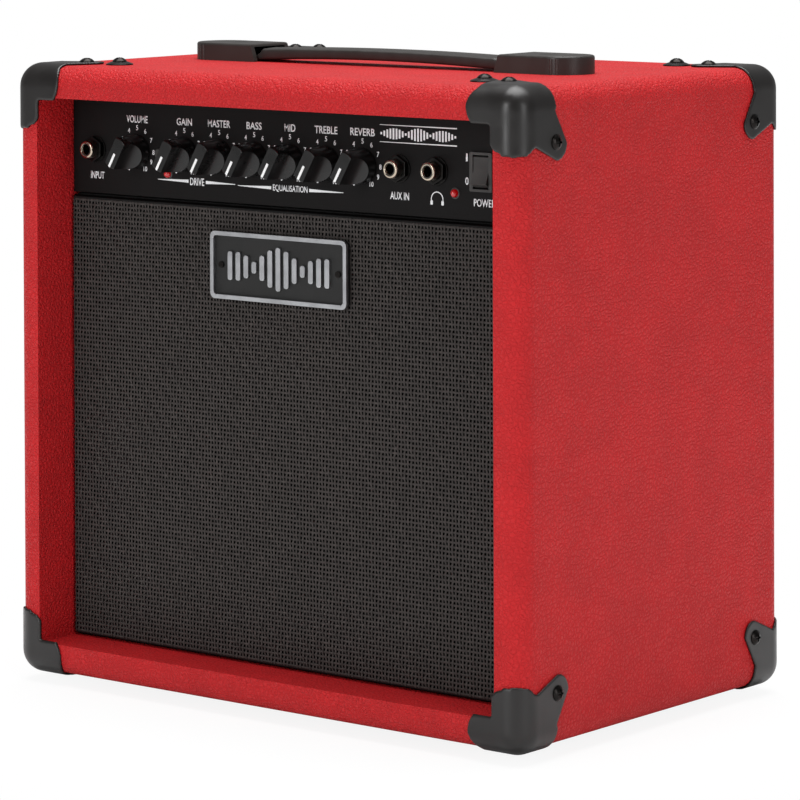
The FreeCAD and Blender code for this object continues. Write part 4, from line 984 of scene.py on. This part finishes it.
def speaker_lead(name, side, material):
    """A flexible wire from the chassis down to a terminal on the basket."""
    basket_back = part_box("speaker_basket")[1].y
    tray_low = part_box("chassis_tray")[0]
    centre = middle("speaker_basket")
    x = LEAD_X + side * LEAD_GAP
    back = basket_back - 12 * MM
    path = [
        (x, tray_low.y + 70 * MM, tray_low.z + 1 * MM),
        (x + 4 * MM, tray_low.y + 74 * MM, tray_low.z - 22 * MM),
        (x - 8 * MM + side * 3 * MM, back + 14 * MM, centre.z + 84 * MM),
        (x - 26 * MM + side * 2 * MM, back + 4 * MM, centre.z + 62 * MM),
        (x - 30 * MM + side * 2 * MM, back - 6 * MM, centre.z + 52 * MM),
    ]
    curve = bpy.data.curves.new(name, "CURVE")
    curve.dimensions = "3D"
    curve.bevel_depth = LEAD_RADIUS
    curve.bevel_resolution = 4
    curve.use_fill_caps = True
    line = curve.splines.new("NURBS")
    line.points.add(len(path) - 1)
    for point, place in zip(line.points, path):
        point.co = (*place, 1)
    line.use_endpoint_u = True
    line.order_u = 4
    curve.materials.append(material)
    piece = bpy.data.objects.new(name, curve)
    bpy.context.scene.collection.objects.link(piece)
    return keep(piece, "cabinet", "component_dark")


# ---------------------------------------------------------------- stage
def build_stage():
    """A pale floor under soft, even studio light."""
    s = Shader("studio_floor")
    mottle = s.noise(0.4, 3)
    s.finish(s.blend(mottle, (0.9, 0.9, 0.9, 1), (0.92, 0.92, 0.92, 1)), 0.9)
    fade_to_backdrop(s)
    side = FLOOR_HALF_SIDE
    floor = make_object(
        "floor", [(-side, -side, 0), (side, -side, 0), (side, side, 0), (-side, side, 0)], [(0, 1, 2, 3)],
        [s.material], False,
    )
    world = bpy.data.worlds.new("studio")
    world.use_nodes = True
    nodes = world.node_tree.nodes
    links = world.node_tree.links
    surround = nodes["Background"]
    surround.inputs["Color"].default_value = (1.0, 1.0, 1.0, 1)
    surround.inputs["Strength"].default_value = SURROUND_LIGHT
    backdrop = nodes.new("ShaderNodeBackground")
    backdrop.inputs["Color"].default_value = (1.0, 1.0, 1.0, 1)
    path = nodes.new("ShaderNodeLightPath")
    choice = nodes.new("ShaderNodeMixShader")
    links.new(path.outputs["Is Camera Ray"], choice.inputs[0])
    links.new(surround.outputs[0], choice.inputs[1])
    links.new(backdrop.outputs[0], choice.inputs[2])
    links.new(choice.outputs[0], nodes["World Output"].inputs["Surface"])
    bpy.context.scene.world = world
    for name, setting in SOFTBOXES.items():
        softbox(name, *setting)


def fade_to_backdrop(s):
    """The camera sees mostly the backdrop's white in the floor, and only that white far out."""
    length = s.nodes.new("ShaderNodeVectorMath")
    length.operation = "LENGTH"
    s.wire(s.place, length.inputs[0])
    far = s.remap(length.outputs["Value"], FLOOR_FADE_START, FLOOR_FADE_END, FLOOR_WHITE, 1.0)
    path = s.nodes.new("ShaderNodeLightPath")
    share = s.math("MULTIPLY", far, path.outputs["Is Camera Ray"])
    white = s.nodes.new("ShaderNodeEmission")
    choice = s.nodes.new("ShaderNodeMixShader")
    s.wire(share, choice.inputs[0])
    s.links.new(s.surface.outputs[0], choice.inputs[1])
    s.links.new(white.outputs[0], choice.inputs[2])
    s.links.new(choice.outputs[0], s.nodes["Material Output"].inputs["Surface"])


def softbox(name, place, target, size, power):
    light = bpy.data.lights.new(name, "AREA")
    light.shape = "RECTANGLE"
    light.size, light.size_y = size
    light.energy = power
    lamp = bpy.data.objects.new(name, light)
    lamp.location = place
    aim = Vector(target) - Vector(place)
    lamp.rotation_mode = "QUATERNION"
    lamp.rotation_quaternion = aim.to_track_quat("-Z", "Y")
    bpy.context.scene.collection.objects.link(lamp)


def drive_shift(camera, home, axis, shift):
    """Shifts the image only while the camera stands at home.

    The curve takes the distance from home: the whole shift at 0, none from SHIFT_RELEASE on.
    """
    curve = camera.data.driver_add(axis)
    curve.driver.type = "SUM"
    distance = curve.driver.variables.new()
    distance.type = "LOC_DIFF"
    distance.targets[0].id = camera
    distance.targets[1].id = home
    for modifier in list(curve.modifiers):
        curve.modifiers.remove(modifier)
    for place, value in ((0.0, shift), (SHIFT_RELEASE, 0.0)):
        curve.keyframe_points.insert(place, value).interpolation = "LINEAR"
    curve.extrapolation = "CONSTANT"


def build_camera():
    yaw = math.radians(CAMERA_YAW)
    pitch = math.radians(CAMERA_PITCH)
    roll = math.radians(CAMERA_ROLL)
    ahead = Vector((-math.sin(yaw), math.cos(yaw), 0))
    right = Vector((math.cos(yaw), math.sin(yaw), 0))
    up = Vector((0, 0, 1))
    aim = ahead * math.cos(pitch) - up * math.sin(pitch)
    above = up * math.cos(pitch) + ahead * math.sin(pitch)
    side = right * math.cos(roll) + above * math.sin(roll)
    above = above * math.cos(roll) - right * math.sin(roll)
    turn = Matrix((side, above, -aim)).transposed()
    data = bpy.data.cameras.new("camera")
    data.lens = CAMERA_LENS
    data.sensor_width = CAMERA_SENSOR
    data.clip_end = 50
    camera = bpy.data.objects.new("camera", data)
    camera.rotation_mode = "QUATERNION"
    camera.rotation_quaternion = turn.to_quaternion()
    camera.location = CAMERA_PLACE
    bpy.context.scene.collection.objects.link(camera)
    bpy.context.scene.camera = camera
    home = bpy.data.objects.new("camera_home", None)
    home.location = CAMERA_PLACE
    bpy.context.scene.collection.objects.link(home)
    drive_shift(camera, home, "shift_x", CAMERA_SHIFT[0])
    drive_shift(camera, home, "shift_y", CAMERA_SHIFT[1])
    bpy.context.scene.view_settings.view_transform = "Standard"


# ---------------------------------------------------------------- the whole
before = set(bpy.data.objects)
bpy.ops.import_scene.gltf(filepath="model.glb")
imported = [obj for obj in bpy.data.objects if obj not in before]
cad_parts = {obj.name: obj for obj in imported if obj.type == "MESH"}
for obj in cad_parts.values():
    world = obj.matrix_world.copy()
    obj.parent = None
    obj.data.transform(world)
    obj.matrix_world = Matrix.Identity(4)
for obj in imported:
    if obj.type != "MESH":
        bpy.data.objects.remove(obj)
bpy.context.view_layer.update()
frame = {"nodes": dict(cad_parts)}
NODES.update(frame["nodes"])


def build():
    finishes = slot_materials()
    dress_cad_nodes(finishes)
    grille_weave(woven_thread("grille_thread", rgb(57, 52, 50)))
    grille_scrim(finishes["grille_cloth"])
    ink = printing_ink("print_white", rgb(214, 214, 216))
    panel_print(ink)
    pointer_white = printing_ink("pointer_white", rgb(226, 226, 226))
    for name in KNOB_LABELS:
        knob_pointer(name, pointer_white)
    chrome = metal("jack_chrome", rgb(178, 166, 150), 0.15)
    thread_steel = metal("jack_thread", rgb(150, 143, 134), 0.3)
    for name in ("input", "aux", "phones"):
        jack_sleeve(name, -1, chrome, thread_steel)
    jack_sleeve("footswitch", 1, chrome, thread_steel)
    lamps(finishes["led_red"], finishes["switch_black"])
    handle_grip(finishes["handle_rubber"])
    speaker_surround(finishes["surround_rubber"])
    speaker_spider(finishes["spider_cloth"])
    speaker_lead("speaker_lead_hot", 1, moulded("lead_red", rgb(150, 20, 18), 0.45))
    speaker_lead("speaker_lead_return", -1, moulded("lead_black", rgb(22, 22, 22), 0.45))
    for node in ("corner_protectors_front", "corner_protectors_rear"):
        moulded_over(node, finishes["protector_black"])


build()
build_stage()
build_camera()
